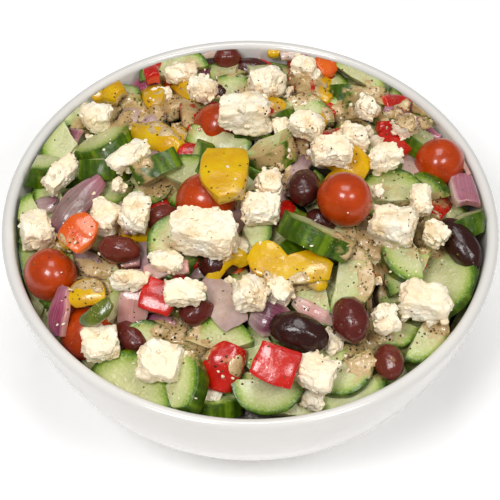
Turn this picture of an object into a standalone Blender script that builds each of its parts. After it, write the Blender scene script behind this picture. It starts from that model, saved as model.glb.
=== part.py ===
"""Greek salad in a round white bowl.

The bowl is a turned shell on a low foot ring. The salad is one domed heap with an uneven top, pressed down
under each topping, and the toppings are separate solids: chunks of feta, cherry tomatoes and olives. The
origin is on the table at the middle of the foot, +Z is up and -Y points at the diner. Tables are in
millimetres and degrees, Blender's meshes in metres.
"""
import math

import bmesh
import bpy
from mathutils import Euler, Matrix, Vector, noise
from mathutils.bvhtree import BVHTree

MM = 0.001
OBJECT_NAME = "greek_salad"

# Bowl: both faces of the wall are superellipses of revolution, blunt at the floor and upright at the rim.
RIM_RADIUS = 110.0
BOWL_HEIGHT = 88.0
WALL_THICKNESS = 5.5
FLOOR_HEIGHT = 6.0
WALL_POWER_R = 3.68
WALL_POWER_Z = 1.6
FOOT_RADIUS = 48.0
FOOT_WIDTH = 5.0
FOOT_RECESS = 1.5
BOWL_STEPS = 48
WALL_POINTS = 8
LIP_POINTS = 4

# Heap: a dome from below the rim at the wall to well above it in the middle.
DOME_RADIUS = 104.0
DOME_DROP = 9.0
DOME_RISE = 31.0
DOME_POWER = 2.2
HEAP_BELOW_DOME = 2.0
HEAP_STEPS = 64
HEAP_RINGS = 14
HEAP_SIDE_POINTS = 6
HEAP_RELIEF = 2.6
HEAP_RELIEF_SIZE = 17.0

# Clearances
WALL_GAP = 1.0
TOPPING_GAP = 0.5
HEAP_GAP = 0.6
HEAP_MARGIN = 1.2
SETTLE_STEP = 0.5
SETTLE_TRIES = 120
PRESS_ROUNDS = 60
PRESS_SAMPLES = 6

# Each topping's place is where the diner's line of sight through it crosses the plane of the rim. It lies
# on that line, at the height of the dome plus its own rise, and slips back along it till it clears the rest.
DINER_EYE = Vector((0.0, -470.7, 671.9))

# Feta: x, y, long, broad, tall, turn, rise
FETA = [
    (-20, -10, 30, 19, 17, -8, 5),
    (63, -4, 21, 17, 16, -15, 4),
    (-4, 61, 23, 18, 16, 10, 6),
    (7, 81, 16, 13, 13, 20, 5),
    (24, 90, 15, 10, 11, -20, 4),
    (-23, 76, 14, 10, 10, 0, 4),
    (-34, 86, 15, 9, 9, 15, 4),
    (25, 54, 16, 12, 11, -15, 5),
    (36, 38, 17, 13, 12, 10, 5),
    (48, 47, 12, 11, 11, 0, 4),
    (61, 35, 14, 10, 10, 10, 5),
    (72, 54, 11, 9, 9, -30, 4),
    (54, 65, 11, 8, 8, -35, 4),
    (76, 10, 10, 12, 12, 0, 4),
    (82, -9, 10, 10, 9, -20, 4),
    (74, -46, 22, 16, 13, -12, 5),
    (58, -55, 11, 10, 10, 10, 4),
    (0, -43, 13, 15, 13, 0, 6),
    (13, -41, 11, 10, 10, -30, 5),
    (-28, -43, 16, 11, 11, 0, 5),
    (-36, -26, 14, 8, 8, -15, 4),
    (-51, -37, 15, 8, 8, 5, 4),
    (-62, -70, 15, 14, 13, 10, 5),
    (-36, -79, 19, 17, 14, -15, 6),
    (28, -83, 18, 14, 13, -20, 6),
    (-50, 0, 14, 16, 13, -10, 5),
    (-64, -3, 13, 14, 12, -10, 4),
    (-56, 34, 22, 9, 9, 40, 5),
    (-86, 22, 22, 9, 9, 58, 5),
    (-72, 58, 13, 12, 12, 0, 5),
    (-94, -10, 16, 17, 14, 10, 4),
    (5, 4, 18, 13, 12, 5, 6),
    (8, 18, 11, 11, 10, 0, 5),
]
FETA_SQUARENESS = 4.5
FETA_ROUGHNESS = 0.16

# Cherry tomatoes: x, y, diameter, direction the stem end faces, its lean from upright, rise
TOMATOES_ON_TOP = [
    (42, 10, 25, 70, 35, 5),
    (88, 33, 24, 200, 120, 2),
    (-87, -35, 24, 160, 80, 1),
]
TOMATOES_TUCKED_IN = [
    (-20, 8, 26, 90, 100, 0),
    (-69, -66, 24, 20, 110, -2),
    (36, 80, 22, 140, 90, -2),
    (-16, 52, 23, 60, 90, -3),
    (-34, 78, 20, 300, 120, -6),
    (-57, 75, 20, 30, 90, -4),
]
TOMATO_FLATTENING = 0.93
TOMATO_DIMPLE = 0.10

# Olives: x, y, length, diameter, turn, tilt, rise
OLIVES = [
    (21, -63, 26, 17, -20, 4, 5),
    (43, -56, 21, 16, -75, 8, 2),
    (95, -15, 28, 15, -60, 8, 2),
    (24, 17, 20, 15, 80, 20, 1),
    (59, -78, 17, 13, 100, 5, 2),
    (-1, 99, 22, 12, -3, 0, 1),
    (-22, -53, 16, 12, 30, 10, 0),
    (-49, -67, 18, 12, -50, 0, 1),
    (-57, -20, 19, 12, -10, 0, 0),
    (-13, -26, 20, 14, 30, 10, -2),
]
OLIVE_TAPER = 0.16
OLIVE_BEND = 0.06

# Name: colour, roughness
FINISHES = {
    "bowl": ((0.80, 0.78, 0.75), 0.18),
    "salad_heap": ((0.30, 0.36, 0.10), 0.55),
    "feta": ((0.92, 0.85, 0.66), 0.75),
    "tomato": ((0.55, 0.05, 0.01), 0.22),
    "olive": ((0.06, 0.012, 0.015), 0.25),
}


def clear_scene():
    for item in list(bpy.data.objects):
        bpy.data.objects.remove(item, do_unlink=True)


def make_material(name):
    colour, roughness = FINISHES[name]
    material = bpy.data.materials.new(name)
    material.use_nodes = True
    shader = material.node_tree.nodes["Principled BSDF"]
    shader.inputs["Base Color"].default_value = (*colour, 1.0)
    shader.inputs["Roughness"].default_value = roughness
    shader.inputs["Metallic"].default_value = 0.0
    return material


def wall_point(radius, depth, angle):
    """(r, z) on a wall face: angle 0 is the middle of its floor and 90 degrees is level with the rim."""
    along = math.radians(angle)
    r = radius * math.sin(along) ** (2 / WALL_POWER_R)
    z = BOWL_HEIGHT - depth * math.cos(along) ** (2 / WALL_POWER_Z)
    return r, z


def angle_at_depth(depth, below_rim):
    return math.degrees(math.acos((below_rim / depth) ** (WALL_POWER_Z / 2)))


def angle_at_radius(radius, r):
    return math.degrees(math.asin((r / radius) ** (WALL_POWER_R / 2)))


INNER_RADIUS = RIM_RADIUS - WALL_THICKNESS
INNER_DEPTH = BOWL_HEIGHT - FLOOR_HEIGHT


def inner_radius_at(height):
    """Radius of the bowl's inside at a height."""
    angle = angle_at_depth(INNER_DEPTH, BOWL_HEIGHT - height)
    return wall_point(INNER_RADIUS, INNER_DEPTH, angle)[0]


def bowl_profile():
    """From the middle of the inside up over the lip, down the outside and under the foot."""
    lip = WALL_THICKNESS / 2
    inner_top = angle_at_depth(INNER_DEPTH, lip)
    outer_top = angle_at_depth(BOWL_HEIGHT, lip)
    foot_angle = angle_at_radius(RIM_RADIUS, FOOT_RADIUS)
    points = []
    for i in range(WALL_POINTS + 1):
        angle = inner_top * (i / WALL_POINTS) ** 1.3
        points.append(wall_point(INNER_RADIUS, INNER_DEPTH, angle))
    lip_middle = RIM_RADIUS - lip
    for i in range(1, LIP_POINTS):
        turn = math.pi * (1 - i / LIP_POINTS)
        points.append((lip_middle + lip * math.cos(turn), BOWL_HEIGHT - lip + lip * math.sin(turn)))
    for i in range(WALL_POINTS + 1):
        angle = outer_top + (foot_angle - outer_top) * i / WALL_POINTS
        points.append(wall_point(RIM_RADIUS, BOWL_HEIGHT, angle))
    points.append((FOOT_RADIUS, 0.0))
    points.append((FOOT_RADIUS - FOOT_WIDTH, 0.0))
    points.append((FOOT_RADIUS - FOOT_WIDTH - FOOT_RECESS, FOOT_RECESS))
    points.append((0.0, FOOT_RECESS))
    return points


def turned_mesh(name, profile, steps):
    """A closed mesh made by turning an open (r, z) profile, whose ends are on the axis, about +Z."""
    outline = bpy.data.meshes.new(name + "_profile")
    shape = bmesh.new()
    row = [shape.verts.new((r * MM, 0.0, z * MM)) for r, z in profile]
    for first, second in zip(row, row[1:]):
        shape.edges.new((first, second))
    shape.to_mesh(outline)
    shape.free()
    lathe = bpy.data.objects.new(name + "_lathe", outline)
    bpy.context.scene.collection.objects.link(lathe)
    screw = lathe.modifiers.new("turn", "SCREW")
    screw.axis = "Z"
    screw.steps = steps
    screw.render_steps = steps
    screw.use_merge_vertices = True
    screw.merge_threshold = 0.00001
    screw.use_normal_calculate = False
    bpy.context.view_layer.update()
    evaluated = lathe.evaluated_get(bpy.context.evaluated_depsgraph_get())
    mesh = bpy.data.meshes.new_from_object(evaluated)
    mesh.name = name
    bpy.data.objects.remove(lathe, do_unlink=True)
    bpy.data.meshes.remove(outline)
    return mesh


def triangulate(mesh):
    shape = bmesh.new()
    shape.from_mesh(mesh)
    bmesh.ops.triangulate(shape, faces=shape.faces[:])
    shape.to_mesh(mesh)
    shape.free()


def finish_object(name, mesh, material, collection, sharp_angle=40):
    mesh.shade_smooth()
    mesh.set_sharp_from_angle(angle=math.radians(sharp_angle))
    mesh.materials.clear()
    mesh.materials.append(material)
    item = bpy.data.objects.new(name, mesh)
    collection.objects.link(item)
    return item


def dome_height(r):
    share = min(r / DOME_RADIUS, 1.0)
    return BOWL_HEIGHT - DOME_DROP + DOME_RISE * (1 - share ** DOME_POWER)


def on_sight_line(x, y, height):
    """The point at a height on the diner's line of sight through (x, y) on the plane of the rim."""
    on_rim = Vector((x, y, BOWL_HEIGHT))
    share = (DINER_EYE.z - height) / (DINER_EYE.z - BOWL_HEIGHT)
    return DINER_EYE + (on_rim - DINER_EYE) * share


def resting_place(x, y, rise):
    place = Vector((x, y, BOWL_HEIGHT))
    for _ in range(6):
        place = on_sight_line(x, y, dome_height(place.xy.length) + rise)
    return place


def feta_mesh(name, long, broad, tall, seed):
    """A broken chunk: a ball squared off towards a block, then made uneven."""
    shape = bmesh.new()
    bmesh.ops.create_icosphere(shape, subdivisions=2, radius=1.0)
    spin = Euler((0.3 * seed, 0.7 * seed, 1.1 * seed)).to_matrix()
    for vert in shape.verts:
        way = spin @ vert.co
        size = sum(abs(c) ** FETA_SQUARENESS for c in way) ** (1 / FETA_SQUARENESS)
        uneven = 1 + FETA_ROUGHNESS * noise.noise(way * 1.9 + Vector((seed * 7.3, 0, 0)))
        block = way / size * uneven
        vert.co = Vector((block.x * long, block.y * broad, block.z * tall)) * MM / 2
    mesh = bpy.data.meshes.new(name)
    shape.to_mesh(mesh)
    shape.free()
    return mesh


def tomato_mesh(name, diameter):
    """A slightly flattened ball with a dimple at its stem end."""
    shape = bmesh.new()
    bmesh.ops.create_uvsphere(shape, u_segments=12, v_segments=8, radius=1.0)
    for vert in shape.verts:
        vert.co.z *= TOMATO_FLATTENING
        if vert.co.z > TOMATO_FLATTENING * 0.999:
            vert.co.z -= TOMATO_DIMPLE
        vert.co *= diameter * MM / 2
    mesh = bpy.data.meshes.new(name)
    shape.to_mesh(mesh)
    shape.free()
    return mesh


def olive_mesh(name, length, diameter):
    """An almond-shaped olive that lies along +X, tapered to its tip and slightly bent."""
    shape = bmesh.new()
    bmesh.ops.create_uvsphere(shape, u_segments=10, v_segments=6, radius=1.0)
    for vert in shape.verts:
        along = vert.co.z
        girth = 1 - OLIVE_TAPER * along - OLIVE_TAPER * max(0.0, along) ** 3
        across = vert.co.x * girth
        up = vert.co.y * girth + OLIVE_BEND * along * along
        vert.co = Vector((along * length, across * diameter, up * diameter)) * MM / 2
    bmesh.ops.recalc_face_normals(shape, faces=shape.faces[:])
    mesh = bpy.data.meshes.new(name)
    shape.to_mesh(mesh)
    shape.free()
    return mesh


def tree_of(mesh, matrix, swell):
    """A search tree of a mesh placed by a matrix, its surface moved outwards by swell millimetres."""
    turn = matrix.to_3x3()
    verts = [matrix @ v.co + (turn @ v.normal).normalized() * swell * MM for v in mesh.vertices]
    return BVHTree.FromPolygons(verts, [tuple(p.vertices) for p in mesh.polygons])


class Tray:
    """The bowl and the toppings laid so far."""

    def __init__(self, bowl_mesh, collection):
        self.bowl = tree_of(bowl_mesh, Matrix.Identity(4), 0.0)
        self.collection = collection
        self.laid = []

    def lay(self, name, mesh, material, place, rotation):
        """Puts a topping at its place, moved just enough to clear the bowl and the toppings before it."""
        away = (place - DINER_EYE).normalized()
        for _ in range(SETTLE_TRIES):
            matrix = Matrix.LocRotScale(place * MM, rotation, None)
            swollen = tree_of(mesh, matrix, TOPPING_GAP)
            if swollen.overlap(self.bowl):
                place = place - Vector((place.x, place.y, 0.0)).normalized() * SETTLE_STEP
            elif any(swollen.overlap(tree) for _, _, tree in self.laid):
                place = place + away * SETTLE_STEP
            else:
                break
        self.laid.append((mesh, matrix, tree_of(mesh, matrix, 0.0)))
        item = finish_object(name, mesh, material, self.collection, sharp_angle=30)
        item.location = place * MM
        item.rotation_mode = "QUATERNION"
        item.rotation_quaternion = rotation

    def lowest_at(self):
        """A function that gives how high the heap may come under the toppings at (x, y), in millimetres."""
        trees = [tree_of(mesh, matrix, HEAP_MARGIN) for mesh, matrix, _ in self.laid]

        def limit(x, y):
            lowest = math.inf
            for tree in trees:
                hit = tree.ray_cast(Vector((x * MM, y * MM, 0.0)), Vector((0, 0, 1)))[0]
                if hit is not None:
                    lowest = min(lowest, hit.z / MM)
            return lowest - HEAP_GAP + HEAP_MARGIN / 2

        return limit


def turned(degrees_z, degrees_y=0.0):
    return Euler((0.0, math.radians(degrees_y), math.radians(degrees_z)), "XYZ").to_quaternion()


def lay_toppings(tray, materials):
    for number, (x, y, long, broad, tall, turn, rise) in enumerate(FETA, 1):
        name = f"feta_{number:02d}"
        mesh = feta_mesh(name, long, broad, tall, number)
        tray.lay(name, mesh, materials["feta"], resting_place(x, y, rise), turned(turn))
    number = 0
    for group in (TOMATOES_ON_TOP, TOMATOES_TUCKED_IN):
        for x, y, diameter, facing, lean, rise in group:
            number += 1
            name = f"tomato_{number:02d}"
            mesh = tomato_mesh(name, diameter)
            tray.lay(name, mesh, materials["tomato"], resting_place(x, y, rise), turned(facing, lean))
        if group is TOMATOES_ON_TOP:
            lay_olives(tray, materials["olive"])


def lay_olives(tray, material):
    for number, (x, y, length, diameter, turn, tilt, rise) in enumerate(OLIVES, 1):
        name = f"olive_{number:02d}"
        mesh = olive_mesh(name, length, diameter)
        tray.lay(name, mesh, material, resting_place(x, y, rise), turned(turn, tilt))


def heap_height(r):
    return dome_height(r) - HEAP_BELOW_DOME


def heap_profile():
    """From the top of the dome out to the wall, then down the inside of the bowl to the axis."""
    edge_height = heap_height(INNER_RADIUS)
    edge_radius = inner_radius_at(edge_height) - WALL_GAP
    points = []
    for i in range(HEAP_RINGS + 1):
        r = edge_radius * i / HEAP_RINGS
        points.append((r, heap_height(r)))
    start = angle_at_depth(INNER_DEPTH, BOWL_HEIGHT - edge_height)
    for i in range(1, HEAP_SIDE_POINTS + 1):
        angle = start * (1 - i / HEAP_SIDE_POINTS) ** 1.2
        points.append(wall_point(INNER_RADIUS - WALL_GAP, INNER_DEPTH - WALL_GAP, angle))
    return points


def roughen_top(mesh):
    """Raises and lowers the top of the heap. At the wall it stays its gap inside the bowl."""
    top = []
    edge_radius = max(v.co.xy.length for v in mesh.vertices)
    for vert in mesh.vertices:
        r = vert.co.xy.length
        if vert.co.z < (heap_height(r / MM) - 0.05) * MM:
            continue
        bump = noise.noise(vert.co / (HEAP_RELIEF_SIZE * MM)) + 0.6 * noise.noise(vert.co / (7.0 * MM))
        vert.co.z += HEAP_RELIEF * bump * MM
        if r > edge_radius - 0.0005:
            vert.co.xy *= (inner_radius_at(vert.co.z / MM) - WALL_GAP) * MM / r
        top.append(vert.index)
    return set(top)


def press_top(mesh, top, limit):
    """Lowers the top of the heap, face by face, till no sample of it comes above the limit there."""
    shares = []
    for i in range(PRESS_SAMPLES + 1):
        for j in range(PRESS_SAMPLES + 1 - i):
            shares.append((i / PRESS_SAMPLES, j / PRESS_SAMPLES, 1 - (i + j) / PRESS_SAMPLES))
    faces = [tuple(p.vertices) for p in mesh.polygons if all(v in top for v in p.vertices)]
    samples = []
    for face in faces:
        corners = [mesh.vertices[v].co / MM for v in face]
        for share in shares:
            x = sum(s * c.x for s, c in zip(share, corners))
            y = sum(s * c.y for s, c in zip(share, corners))
            highest = limit(x, y)
            if highest < math.inf:
                samples.append((face, share, highest))
    for _ in range(PRESS_ROUNDS):
        for face, share, highest in samples:
            level = sum(s * mesh.vertices[v].co.z for s, v in zip(share, face)) / MM
            over = level - highest
            if over > 0:
                weight = sum(s * s for s in share)
                for s, v in zip(share, face):
                    mesh.vertices[v].co.z -= over * s / weight * MM


def keep_off_wall(mesh, top):
    """Moves what was pressed down at the edge back inside the narrower bowl there."""
    for index in top:
        vert = mesh.vertices[index]
        allowed = (inner_radius_at(min(vert.co.z / MM, BOWL_HEIGHT)) - WALL_GAP) * MM
        r = vert.co.xy.length
        if r > allowed:
            vert.co.xy *= allowed / r


def build():
    clear_scene()
    collection = bpy.data.collections.new(OBJECT_NAME)
    bpy.context.scene.collection.children.link(collection)
    materials = {name: make_material(name) for name in FINISHES}

    bowl = turned_mesh("bowl", bowl_profile(), BOWL_STEPS)
    finish_object("bowl", bowl, materials["bowl"], collection)

    tray = Tray(bowl, collection)
    lay_toppings(tray, materials)

    heap = turned_mesh("salad_heap", heap_profile(), HEAP_STEPS)
    triangulate(heap)
    top = roughen_top(heap)
    press_top(heap, top, tray.lowest_at())
    keep_off_wall(heap, top)
    finish_object("salad_heap", heap, materials["salad_heap"], collection)


build()
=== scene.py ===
"""Looks of a Greek salad in a round white bowl.

The bowl is turned again with a fine glaze. The salad is built as its real pieces over a dark core:
cucumber, peppers, onion, feta, tomatoes, olives, dressing and herbs. The core's colour is the dark wet salad
deep down, painted much darker as the shade in the gaps between the pieces. Tables and shaping are in
millimetres, meshes in metres. A place is given as (x, y) on the level of the rim, where the line from the
diner's eye to the piece crosses it, and each piece slides along that line until it lies on the dome, behind
what covers it.
"""
import math
import random

import bmesh
import bpy
import numpy as np
from mathutils import Euler, Matrix, Vector, noise
from mathutils.bvhtree import BVHTree


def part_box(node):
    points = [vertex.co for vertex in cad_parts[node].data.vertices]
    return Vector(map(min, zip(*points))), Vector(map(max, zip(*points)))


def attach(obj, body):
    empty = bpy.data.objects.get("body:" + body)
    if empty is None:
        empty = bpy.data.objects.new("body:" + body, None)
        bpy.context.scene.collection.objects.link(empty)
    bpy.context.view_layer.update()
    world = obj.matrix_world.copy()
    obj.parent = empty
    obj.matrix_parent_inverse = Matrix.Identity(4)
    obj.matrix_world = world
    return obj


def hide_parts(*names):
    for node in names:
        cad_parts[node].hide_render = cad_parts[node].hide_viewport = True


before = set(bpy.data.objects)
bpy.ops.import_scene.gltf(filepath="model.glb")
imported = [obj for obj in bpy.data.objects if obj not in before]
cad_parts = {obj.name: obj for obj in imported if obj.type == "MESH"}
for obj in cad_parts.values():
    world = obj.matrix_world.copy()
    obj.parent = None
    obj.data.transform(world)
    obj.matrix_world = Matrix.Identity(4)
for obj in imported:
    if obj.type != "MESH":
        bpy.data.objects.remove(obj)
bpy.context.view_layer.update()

MM = 0.001
SEED = 7
noise.seed_set(SEED)

# Bowl: both faces of the wall are superellipses of revolution, as in the frame.
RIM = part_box("bowl")[1].z / MM
RIM_RADIUS = 110.0
WALL_THICKNESS = 5.5
INNER_RADIUS = RIM_RADIUS - WALL_THICKNESS
INNER_DEPTH = RIM - 6.0
WALL_POWER_R = 3.68
WALL_POWER_Z = 1.6
FOOT_RADIUS = 48.0
FOOT_WIDTH = 5.0
FOOT_RECESS = 1.5
BOWL_STEPS = 192

# Heap: a dome from below the rim at the wall to well above it in the middle.
DOME_RADIUS = 104.0
DOME_DROP = 9.0
DOME_RISE = 31.0
DOME_POWER = 2.2
CORE_DEPTH = 22.0

# Diner's eye, from which the pieces are laid out.
EYE = Vector((0.0, -470.7, 671.9))
EYE_POINT = np.array(EYE)
EYE_PITCH = math.radians(37.71)
EYE_ROLL = math.radians(0.8)
EYE_LENS = 121.87

GRID_STEP = 2.1
FULL_SLICE = 360
COVER_SHARE = 0.6
SQUEEZE = 4.0
MOST_FORWARD = 14.0


def srgb(red, green, blue):
    """A screen colour as the linear colour that materials take."""
    levels = np.array([red, green, blue]) / 255.0
    linear = np.where(levels <= 0.04045, levels / 12.92, ((levels + 0.055) / 1.055) ** 2.4)
    return (*[float(v) for v in linear], 1.0)


# ---------------------------------------------------------------- bowl and dome as formulas

def wall_point(radius, depth, angle):
    """A point of a wall's face: angle 0 is the middle of the floor, 90 degrees is level with the rim."""
    return (radius * math.sin(angle) ** (2 / WALL_POWER_R),
            RIM - depth * math.cos(angle) ** (2 / WALL_POWER_Z))


def inner_radius_at(height):
    """The bowl's inner radius at each height in an array."""
    below = np.clip((RIM - height) / INNER_DEPTH, 0.0, 1.0)
    angle = np.arccos(below ** (WALL_POWER_Z / 2))
    return INNER_RADIUS * np.sin(angle) ** (2 / WALL_POWER_R)


def dome_height(x, y):
    share = min(math.hypot(x, y) / DOME_RADIUS, 1.0)
    return RIM - DOME_DROP + DOME_RISE * (1 - share ** DOME_POWER)


def dome_normal(x, y):
    step = 1.0
    slope_x = (dome_height(x + step, y) - dome_height(x - step, y)) / (2 * step)
    slope_y = (dome_height(x, y + step) - dome_height(x, y - step)) / (2 * step)
    return Vector((-slope_x, -slope_y, 1.0)).normalized()


def on_sight_line(x, y, height):
    reach = (EYE.z - height) / (EYE.z - RIM)
    return EYE + Vector((x - EYE.x, y - EYE.y, 0)) * reach + Vector((0, 0, height - EYE.z))


def on_rim_level(points):
    """Where the sight lines to an array of points cross the level of the rim."""
    rays = points - EYE_POINT
    return EYE_POINT[:2] + rays[:, :2] * ((EYE.z - RIM) / -rays[:, 2])[:, None]


def level_of(place):
    """Where the sight line to one place crosses the level of the rim."""
    return EYE + (place - EYE) * ((EYE.z - RIM) / (EYE.z - place.z))


def resting_place(x, y, rise=0.0):
    """Where the sight line through (x, y) meets the dome, raised by rise."""
    place = on_sight_line(x, y, RIM)
    for _ in range(6):
        place = on_sight_line(x, y, dome_height(place.x, place.y) + rise)
    return place


# ---------------------------------------------------------------- materials

class Tone:
    """A value in a material. Arithmetic on it adds Math nodes."""

    def __init__(self, paint, socket):
        self.paint = paint
        self.socket = socket

    def math(self, operation, first, second=0.0):
        return self.paint.node("ShaderNodeMath", {"operation": operation}, {0: first, 1: second})

    def __add__(self, other):
        return self.math("ADD", self, other)

    def __sub__(self, other):
        return self.math("SUBTRACT", self, other)

    def __rsub__(self, other):
        return self.math("SUBTRACT", other, self)

    def __mul__(self, other):
        return self.math("MULTIPLY", self, other)

    def __truediv__(self, other):
        return self.math("DIVIDE", self, other)

    __radd__ = __add__
    __rmul__ = __mul__

    def power(self, exponent):
        return self.math("POWER", self, exponent)

    def between(self, low, high):
        """0 below low, 1 above high, smooth between them."""
        return self.paint.node("ShaderNodeMapRange", {"interpolation_type": "SMOOTHSTEP"},
                               {0: self, 1: low, 2: high, 3: 0.0, 4: 1.0})


class Paint:
    """One material and the nodes that colour it."""

    def __init__(self, name, **fixed):
        self.material = bpy.data.materials.new(name)
        self.material.use_nodes = True
        self.tree = self.material.node_tree
        self.shader = self.tree.nodes["Principled BSDF"]
        for socket, value in fixed.items():
            self.shader.inputs[socket.replace("_", " ")].default_value = value

    def node(self, kind, settings, inputs, output=0):
        made = self.tree.nodes.new(kind)
        for key, value in settings.items():
            if key == "stops":
                self.fill_ramp(made.color_ramp, value)
            else:
                setattr(made, key, value)
        for key, value in inputs.items():
            self.feed(made.inputs[key], value)
        return Tone(self, made.outputs[output])

    def feed(self, socket, value):
        if isinstance(value, Tone):
            self.tree.links.new(value.socket, socket)
        else:
            socket.default_value = value

    @staticmethod
    def fill_ramp(ramp, stops):
        while len(ramp.elements) < len(stops):
            ramp.elements.new(0.5)
        for element, (position, colour) in zip(ramp.elements, stops):
            element.position = position
            element.color = colour

    def set(self, **links):
        for socket, value in links.items():
            self.feed(self.shader.inputs[socket.replace("_", " ")], value)

    def place(self):
        return self.node("ShaderNodeTexCoord", {}, {}, "Object")

    def attribute(self, name, output="Fac"):
        return self.node("ShaderNodeAttribute", {"attribute_name": name}, {}, output)

    def part(self, vector, axis):
        return self.node("ShaderNodeSeparateXYZ", {}, {0: vector}, axis)

    def stretched(self, vector, x, y, z):
        return self.node("ShaderNodeMapping", {}, {"Vector": vector, "Scale": (x, y, z)})

    def mottle(self, per_metre, detail=3.0, vector=None, roughness=0.5):
        return self.node("ShaderNodeTexNoise", {}, {
            "Vector": vector or self.place(), "Scale": per_metre, "Detail": detail,
            "Roughness": roughness}, "Fac")

    def cells(self, per_metre, vector=None, feature="F1", output="Distance"):
        return self.node("ShaderNodeTexVoronoi", {"feature": feature}, {
            "Vector": vector or self.place(), "Scale": per_metre}, output)

    def specks(self, per_metre, small, large, patches, detail, low, high):
        """Dots that fade out from small to large, only where a mottle rises above low to high."""
        dots = 1 - self.cells(per_metre).between(small, large)
        return dots * self.mottle(patches, detail).between(low, high)

    def ramp(self, value, *stops):
        return self.node("ShaderNodeValToRGB", {"stops": stops}, {0: value})

    def mix(self, share, below, above, blend="MIX"):
        return self.node("ShaderNodeMix", {"data_type": "RGBA", "blend_type": blend},
                         {0: share, 6: below, 7: above}, 2)

    def bump(self, height, distance, strength=1.0):
        self.set(Normal=self.node("ShaderNodeBump", {}, {
            "Height": height, "Distance": distance, "Strength": strength}))

    def finish(self, colour, roughness, height, distance, strength):
        """Feeds the shader and gives the finished material."""
        self.set(Base_Color=colour, Roughness=roughness)
        self.bump(height, distance, strength)
        return self.material


DRESSING_COLOUR = srgb(198, 166, 114)
HERB_COLOUR = srgb(84, 68, 28)


def dressed(paint, colour, strength=1.0):
    """The colour with a thin film of dressing where the sauce attribute is high, and herb flecks in it."""
    sauce = paint.attribute("sauce")
    patchy = paint.mottle(210, 4.0)
    film = (patchy + sauce * (0.62 * strength)).between(0.72, 0.98)
    flecks = paint.specks(640, 0.10, 0.24, 320, 1.0, 0.46, 0.60)
    flecks = flecks * (sauce * 0.9 + 0.08)
    glints = paint.specks(470, 0.08, 0.17, 150, 1.0, 0.56, 0.64)
    colour = paint.mix(film * 0.82, colour, DRESSING_COLOUR)
    colour = paint.mix(flecks * 0.75, colour, HERB_COLOUR)
    return paint.mix(glints * 0.3, colour, srgb(238, 224, 190))


def glaze_material():
    paint = Paint("bowl_glaze", Roughness=0.16, Coat_Weight=0.25, Coat_Roughness=0.05, Specular_IOR_Level=0.5)
    cloud = paint.mottle(22, 3.0)
    colour = paint.ramp(cloud, (0.3, srgb(223, 220, 215)), (0.7, srgb(228, 225, 220)))
    return paint.finish(colour, paint.mottle(90, 2.0) * 0.10 + 0.12, paint.mottle(45, 2.0), 0.00025, 0.5)


def core_painted_shade_material():
    paint = Paint("salad_core_painted_shade", Roughness=0.4)
    # Painted shade: near-black browns and a dark green, the dark wet salad deep down painted much darker as
    # the shade in the gaps between the pieces.
    cloud = paint.mottle(130, 4.0)
    colour = paint.ramp(cloud, (0.3, srgb(26, 14, 6)), (0.5, srgb(52, 34, 12)), (0.7, srgb(58, 58, 16)))
    paint.set(Base_Color=colour)
    paint.bump(cloud, 0.002)
    return paint.material


def cucumber_material():
    paint = Paint("cucumber", Coat_Weight=0.15, Coat_Roughness=0.1, Subsurface_Weight=0.12,
                  Subsurface_Scale=0.004, Specular_IOR_Level=0.3)
    spot = paint.attribute("spot", "Vector")
    across, along = paint.part(spot, "X"), paint.part(spot, "Y")
    reach = (across * across + along * along).power(0.5)
    turn = paint.node("ShaderNodeMath", {"operation": "ARCTAN2"}, {0: along, 1: across})
    wobble = paint.mottle(240, 3.0) * 0.08 - 0.04
    flesh = paint.ramp(reach + wobble, (0.0, srgb(206, 203, 160)), (0.30, srgb(196, 195, 142)),
                       (0.52, srgb(200, 202, 148)), (0.74, srgb(182, 192, 118)), (0.87, srgb(136, 162, 54)),
                       (0.95, srgb(76, 118, 18)))
    ring = paint.node("ShaderNodeCombineXYZ", {}, {0: turn * 2.6, 1: reach * 3.4, 2: 0.0})
    seeds = 1 - paint.cells(1.6, ring).between(0.16, 0.42)
    seeds = seeds * reach.between(0.16, 0.26) * (1 - reach.between(0.50, 0.60))
    flesh = paint.mix(seeds * 0.6, flesh, srgb(232, 228, 190))
    rim = paint.cells(1.6, ring).between(0.34, 0.44) * (1 - paint.cells(1.6, ring).between(0.48, 0.60))
    rim = rim * reach.between(0.16, 0.26) * (1 - reach.between(0.52, 0.62))
    flesh = paint.mix(rim * 0.26, flesh, srgb(158, 164, 92))
    flesh = paint.mix(paint.mottle(900, 2.0).between(0.45, 0.75) * 0.35, flesh, srgb(228, 224, 188))
    down = paint.part(spot, "Z") * 0.02
    round_and_down = paint.node("ShaderNodeCombineXYZ", {}, {0: turn * 3.2, 1: down, 2: 0.0})
    stripe = paint.mottle(1.0, 3.0, round_and_down)
    skin = paint.ramp(stripe + paint.mottle(420, 2.0) * 0.25 - 0.12, (0.32, srgb(34, 58, 0)),
                      (0.50, srgb(62, 90, 2)), (0.68, srgb(104, 130, 14)))
    outside = paint.attribute("skin")
    colour = paint.mix(outside, flesh, skin)
    grain = paint.mottle(700, 3.0) * 0.5 + seeds * 0.8 + stripe * 0.3
    colour = dressed(paint, colour, 0.85)
    return paint.finish(colour, paint.mottle(500, 2.0) * 0.22 + 0.22, grain, 0.0005, 0.7)


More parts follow.
